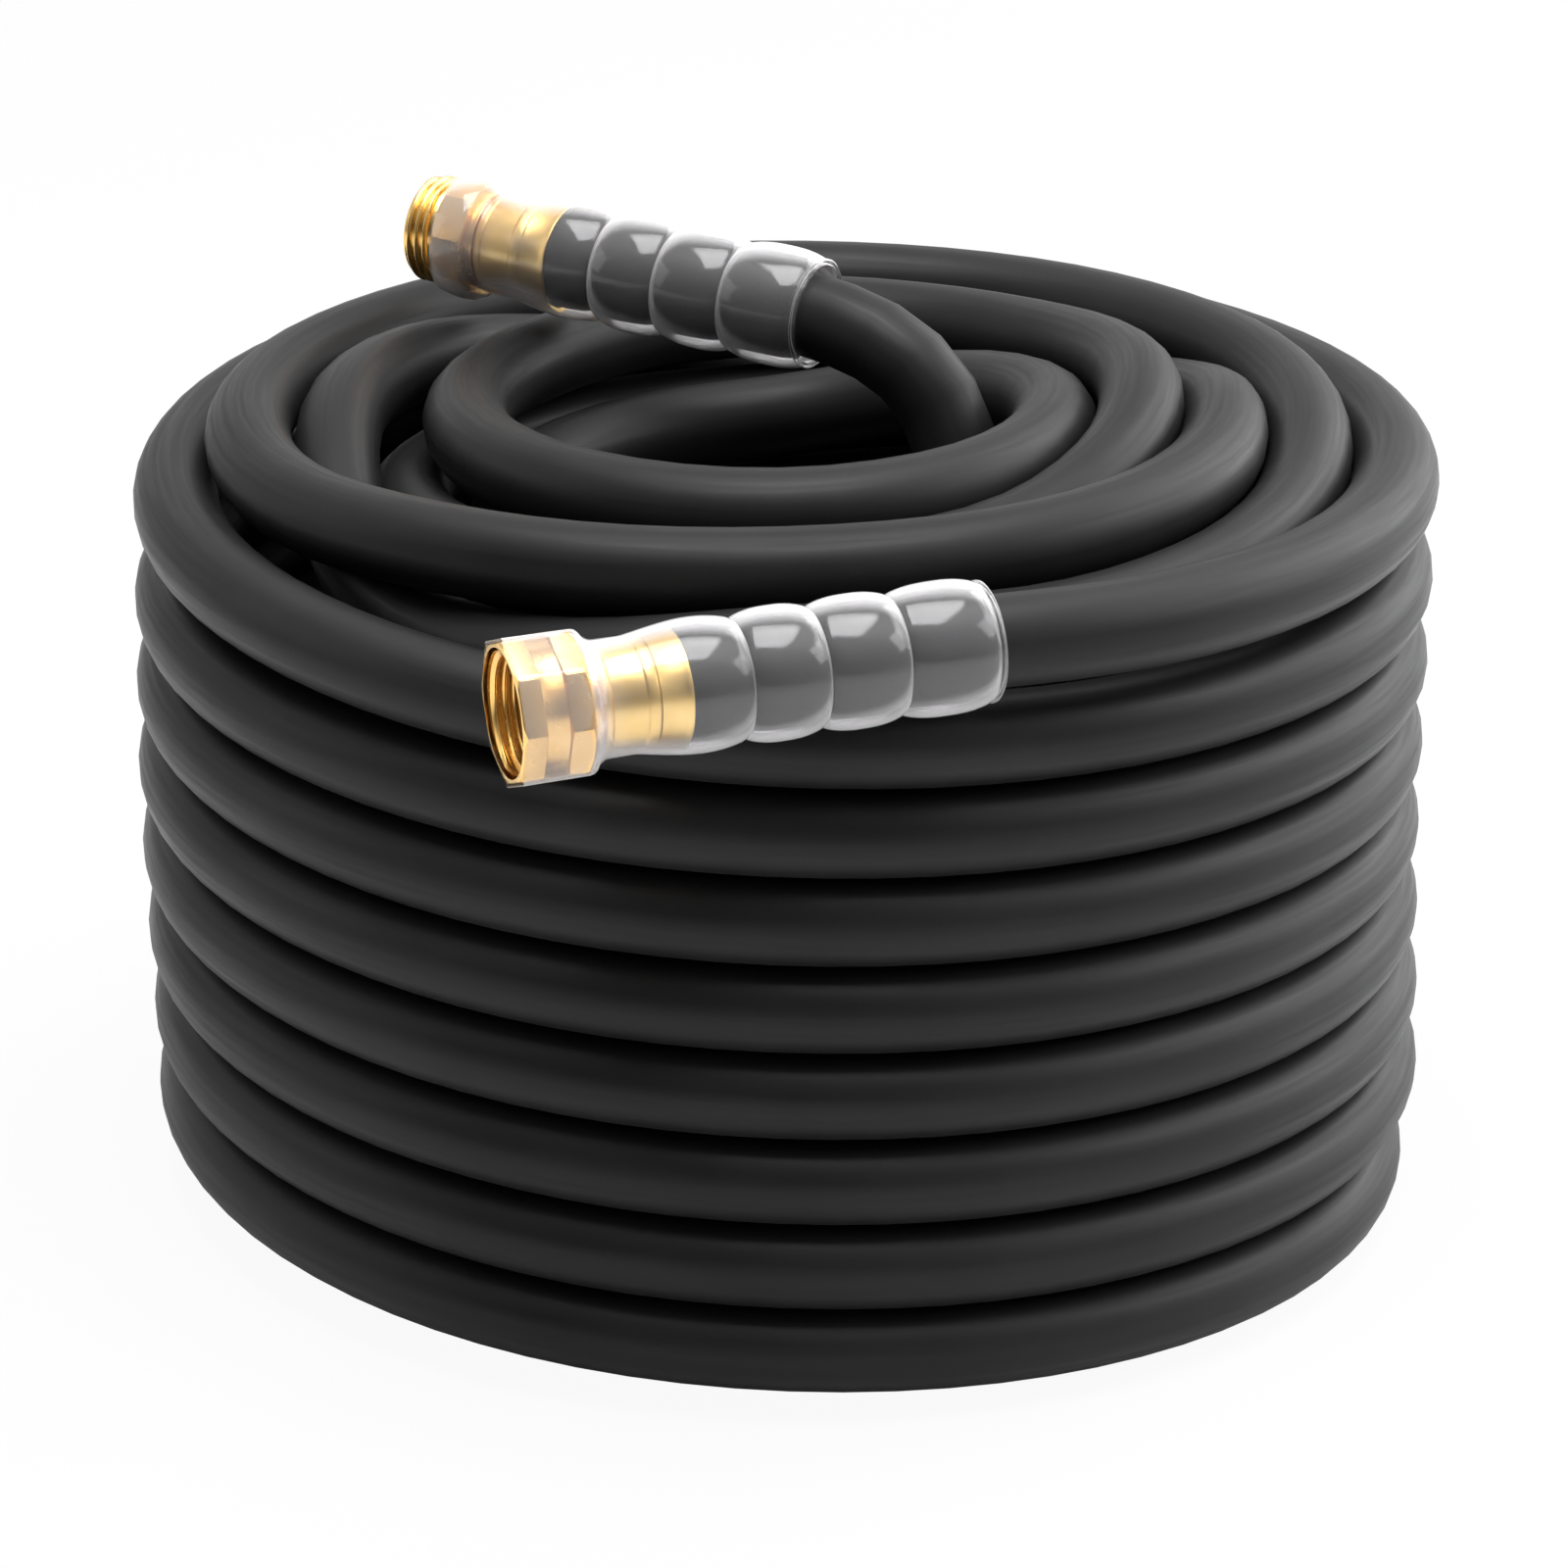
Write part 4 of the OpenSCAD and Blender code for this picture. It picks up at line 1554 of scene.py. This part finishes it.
@dataclass
class Coupling:
    """What both couplings share: a place, a ferrule and a barbed stem.

    Attributes:
        end: Where the sleeve ends, in millimetres.
        lies: How the coupling lies.
        ferrule_at: Where the ferrule begins, from the mouth.
        tail: Sizes of the tailpiece.
    """

    end: Rows
    lies: CouplingPlace
    ferrule_at: float
    tail: TailSize = TAIL

    def _stem(self) -> Profile:
        """Draws the neck and the saw-tooth barbs, down to the water way.

        Returns:
            [radius, height] of each station.
        """
        t = self.tail
        start, end = self.ferrule_at + FERRULE.front, self.ferrule_at + t.stem_len
        step = (end - start) / t.barbs
        stations = [(t.neck_r, start)]
        for i in range(t.barbs):
            stations.append((t.barb_r, start + i * step + 0.3))
            stations.append((t.barb_r - t.barb_cut, start + (i + 1) * step - 0.3))
        return [*stations, (t.water_r, end)]

    def _ferrule(self, name: str) -> Piece:
        """Makes the ferrule: front wall, fine groove, raised ring and flared lip.

        Args:
            name: Name of the piece.

        Returns:
            The ferrule, on the Z axis.
        """
        f = FERRULE
        inner, outer = f.inside(HOSE), f.outside(HOSE)
        hub, lip = self.tail.neck_r + 0.05, outer + 0.4
        profile = [
            (hub, 0), (outer - 1.2, 0), (outer - 0.55, 0.15), (outer - 0.18, 0.55), (outer, 1.3),
            (outer, 2.1), (outer - 0.25, 2.35), (outer - 0.25, 2.6), (outer, 2.85), (outer, 10.6),
            (outer + f.ring * 0.8, 10.95), (outer + f.ring, 11.3), (outer + f.ring, 13.1),
            (outer + f.ring * 0.8, 13.45), (outer, 13.8), (outer, f.length - 1.9),
            (lip - 0.15, f.length - 0.95), (lip, f.length - 0.5), (lip, f.length - 0.1),
            (lip - 0.12, f.length), (inner + 0.08, f.length), (inner, f.length - 0.1),
            (inner, f.front), (hub, f.front),
        ]
        return turned(name, [(r, self.ferrule_at + z) for r, z in profile], 0.07)

    def _lay(self, parts: list[Part]) -> list[Part]:
        """Lays finished parts in position.

        Args:
            parts: Parts made on the Z axis.

        Returns:
            The same parts.
        """
        matrix = self.lies.matrix(self.end)
        for part in parts:
            place(part.piece, matrix)
        return parts


@dataclass
class FemaleCoupling(Coupling):
    """Swivel nut with its thread, washer, flow disc, tailpiece, ferrule and sleeve."""

    lies: CouplingPlace = FEMALE_PLACE
    ferrule_at: float = FEMALE_FERRULE_AT
    nut: NutSize = NUT

    @property
    def flange_front(self) -> float:
        """Where the flange of the tailpiece begins, from the mouth."""
        return self.nut.length - self.nut.wall - 0.1 - self.tail.flange_t

    def _nut(self) -> Piece:
        """Makes two octagonal bands with a round groove between them, cut from bar.

        Returns:
            The nut, on the Z axis.
        """
        n, half = self.nut, self.nut.flats / 2
        wide = half * OCTAGON_CORNER + 0.6
        bore = n.thread_r
        return turned(
            "octagon_nut",
            [
                (bore + 0.7, 0), (half + 0.35, 0), (half + 1.35, 0.75), (wide, 1.1),
                (wide, n.band), (half - n.groove, n.band + 0.4),
                (half - n.groove, n.length - n.band - 0.7),
                (wide, n.length - n.band - 0.3), (wide, n.length - 1.3),
                (half + 0.3, n.length - 0.25), (half - 0.3, n.length),
                (n.neck_hole_r, n.length), (n.neck_hole_r, n.length - n.wall),
                (n.chamber_r, n.length - n.wall), (n.chamber_r, n.thread_len),
                (bore, n.thread_len), (bore, 0.7),
            ],
            0.22, 3, n.flats,
        )

    def _ridge(self) -> Piece:
        """Makes the thread inside the nut."""
        root = self.nut.thread_r
        return soften(thread_ridge("nut_thread", root, root - THREAD.depth, 1.5), 0.08, 1)

    def _washer(self) -> Piece:
        """Makes the sealing washer in front of the flange.

        Returns:
            The washer, on the Z axis.
        """
        t, front = self.tail, self.flange_front
        back = front - t.washer_t
        bore, rim = t.washer_bore_r, t.flange_r
        square = [(bore, back), (rim, back), (rim, front), (bore, front)]
        return turned("sealing_washer", square, 0.35, 3)

    def _disc(self) -> Piece:
        """Makes the flow disc in its seat in the flange.

        Returns:
            The disc, on the Z axis.
        """
        t, front = self.tail, self.flange_front
        return turned(
            "perforated_disc",
            [
                (t.disc_hole_r, front + 0.25), (t.disc_hole_r + 0.8, front),
                (t.disc_r, front), (t.disc_r, front + t.disc_t), (t.disc_hole_r, front + t.disc_t),
            ],
            0.12,
        )

    def _insert(self) -> Piece:
        """Makes the tailpiece: flange, neck and barbed stem on one water way.

        Returns:
            The tailpiece, on the Z axis.
        """
        t, front = self.tail, self.flange_front
        seat = t.disc_r + 0.1
        return turned(
            "barbed_insert",
            [
                (seat, front), (t.flange_r, front), (t.flange_r, front + t.flange_t),
                (t.neck_r, front + t.flange_t), *self._stem(),
                (t.water_r, front + t.disc_t), (seat, front + t.disc_t),
            ],
            0.1,
        )

    def build(self) -> list[Part]:
        """Makes and places every piece of the coupling.

        Returns:
            The parts, in position.
        """
        sleeve = Sleeve("front_sleeve", self.nut.flats, 0.3, self.nut.length)
        washer, disc, ridge = self._washer(), self._disc(), self._ridge()
        return self._lay([
            Part(self._nut(), Body.SWIVEL, Slot.FITTING, ("swivel_nut",)),
            Part(ridge, Body.SWIVEL, Slot.FITTING, ("swivel_nut",)),
            Part(washer, Body.HOSE, Slot.WASHER, ("inlet_washer",)),
            Part(disc, Body.HOSE, Slot.PLASTIC, ("flow_disc",)),
            Part(self._insert(), Body.HOSE, Slot.FITTING, ("inlet_tailpiece",)),
            Part(self._ferrule("front_ferrule"), Body.HOSE, Slot.FERRULE, ("inlet_ferrule",)),
            Part(sleeve.build(), Body.SWIVEL, Slot.CLEAR, ("inlet_sleeve",)),
        ])


@dataclass
class MaleCoupling(Coupling):
    """Threaded tailpiece with its octagonal collar, ferrule and sleeve."""

    lies: CouplingPlace = MALE_PLACE
    ferrule_at: float = MALE_FERRULE_AT
    collar: CollarSize = COLLAR

    def _collar(self) -> Piece:
        """Makes the octagonal collar, cut from bar.

        Returns:
            The collar, on the Z axis.
        """
        c, half = self.collar, self.collar.flats / 2
        hub, wide = c.root - 2, half * OCTAGON_CORNER + 0.6
        return turned(
            "collar_turning",
            [
                (hub, c.thread_len), (half + 0.1, c.thread_len),
                (half + 1.0, c.thread_len + 0.7), (wide, c.thread_len + 1.1),
                (wide, c.end - 1.2), (half + 0.2, c.end - 0.2), (half - 0.3, c.end), (hub, c.end),
            ],
            # The exact solver drops a chamfer of this cut in one run out of ten.
            0.25, 3, c.flats, Solver.FAST,
        )

    def _tail(self) -> Piece:
        """Makes the thread, collar, shoulder, neck and barbed stem in one piece.

        Returns:
            The tailpiece, on the Z axis.
        """
        c, t, core = self.collar, self.tail, self.collar.root
        shoulder = FERRULE.outside(HOSE)
        collar = self._collar()
        piece = turned(
            "threaded_tail",
            [
                (t.water_r + 2.6, 0), (core - 0.35, 0), (core, 0.5), (core, c.thread_len + 0.6),
                (t.neck_r + 1, c.thread_len + 0.6), (t.neck_r + 1, c.end - 0.6),
                (shoulder, c.end - 0.6), (shoulder, c.end + 0.7), (shoulder - 0.35, c.end + 0.95),
                (shoulder, c.end + 1.2), (shoulder, c.end + 2.0), (t.neck_r, c.end + 2.0),
                *self._stem(), (t.water_r, 1.6), (t.water_r + 0.5, 1.2), (t.water_r + 2.2, 1.2),
            ],
            0.1,
        )
        ridge = soften(thread_ridge("tail_thread", core, c.thread_r, 1.05, clock=114.0), 0.1, 1)
        activate(piece)
        collar.select_set(True)
        ridge.select_set(True)
        bpy.ops.object.join()
        return piece

    def build(self) -> list[Part]:
        """Makes and places every piece of the coupling.

        Returns:
            The parts, in position.
        """
        c = self.collar
        sleeve = Sleeve("rear_sleeve", c.flats, c.thread_len + 0.3, c.end, swell=1.6)
        return self._lay([
            Part(self._tail(), Body.HOSE, Slot.FITTING, ("outlet_tailpiece",)),
            Part(self._ferrule("rear_ferrule"), Body.HOSE, Slot.FERRULE, ("outlet_ferrule",)),
            Part(sleeve.build(), Body.HOSE, Slot.CLEAR, ("outlet_sleeve",)),
        ])


# ---- stage ----


@dataclass(frozen=True)
class AreaLamp:
    """A soft square lamp that looks at the coil; places in metres."""

    name: str
    place: Triple
    size: float
    power: float
    target: Triple = (0.0, 0.0, 0.1)

    def build(self) -> None:
        """Makes the lamp."""
        data = bpy.data.lights.new(self.name, "AREA")
        data.shape, data.size, data.energy = "SQUARE", self.size, self.power
        lamp = bpy.data.objects.new(self.name, data)
        bpy.context.scene.collection.objects.link(lamp)
        lamp.location = self.place
        aim = Vector(self.target) - Vector(self.place)
        lamp.rotation_euler = aim.to_track_quat("-Z", "Y").to_euler()


@dataclass(frozen=True)
class Studio:
    """Pale floor, white surround and soft lamps.

    Attributes:
        floor: Material of the floor.
        ambient: Light that the surround casts on rough surfaces.
        reflected: How bright it looks in a reflection.
        dim: Share of that on its dark side.
        bright_way: Direction of its bright side.
        floor_size: Width of the floor, in metres.
        lamps: The lamps.
    """

    floor: Material
    ambient: float = 0.22
    reflected: float = 1.06
    dim: float = 0.04
    bright_way: Triple = (0.35, 0.75, 0.55)
    floor_size: float = 14.0
    lamps: tuple[AreaLamp, ...] = (
        AreaLamp("overhead", (0.0, -0.15, 1.9), 1.3, 44.0),
        AreaLamp("left_window", (-1.8, 0.0, 0.8), 1.0, 3.5),
        AreaLamp("right_window", (1.6, -0.3, 1.2), 0.9, 9.5),
        AreaLamp("rear_window", (1.5, 0.9, 1.0), 1.9, 38.0),
    )

    def _floor(self) -> None:
        """Makes the floor and gives it its material."""
        deselect()
        bpy.ops.mesh.primitive_grid_add(x_subdivisions=8, y_subdivisions=8, size=self.floor_size)
        floor = bpy.context.object
        floor.name = "studio_floor"
        floor.data.materials.append(self.floor)

    def _world(self) -> None:
        """Makes the surround: white to the camera, and darker on one side in reflections."""
        world = bpy.data.worlds.new("studio")
        bpy.context.scene.world = world
        world.use_nodes = True
        w = Nodes(world.node_tree)
        shine = w.rescale(
            w.add("LightPath", {}, "Glossy Depth"), self.ambient, self.reflected, 0.0, 1.0
        )
        way = {0: w.add("TexCoord", {}, "Generated"), 1: self.bright_way}
        towards = w.add("VectorMath", way, "Value", operation="DOT_PRODUCT")
        shade = w.rescale(towards, self.dim, 1.0, -0.6, 0.7)
        level = w.rescale(w.seen_straight(), w.work("MULTIPLY", shine, shade), 1.0, 0.0, 1.0)
        back = w.tree.nodes["Background"].inputs
        back["Color"].default_value = (1, 1, 1, 1)
        w.tree.links.new(level, back["Strength"])

    def build(self) -> None:
        """Makes the floor, the surround and the lamps."""
        self._floor()
        self._world()
        for lamp in self.lamps:
            lamp.build()
        bpy.context.scene.view_settings.view_transform = "Standard"


# ---- main ----


def main() -> None:
    """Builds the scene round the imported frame."""
    logging.basicConfig(level=logging.INFO)
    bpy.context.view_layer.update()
    CameraSize().build()
    finishes = Finishes()
    route = HoseRoute(COIL, HOSE)
    hose = Hose(HOSE, route.points())
    tube = hose.build()
    female = FemaleCoupling(route.front_end()).build()
    male = MaleCoupling(MALE_END).build()
    for part in (tube, *female, *male):
        part.register(finishes)
    LOG.info("hose length %.3f m, %d rings", hose.length, len(hose.centre))
    Studio(finishes.floor).build()


if __name__ == "__main__":
    main()
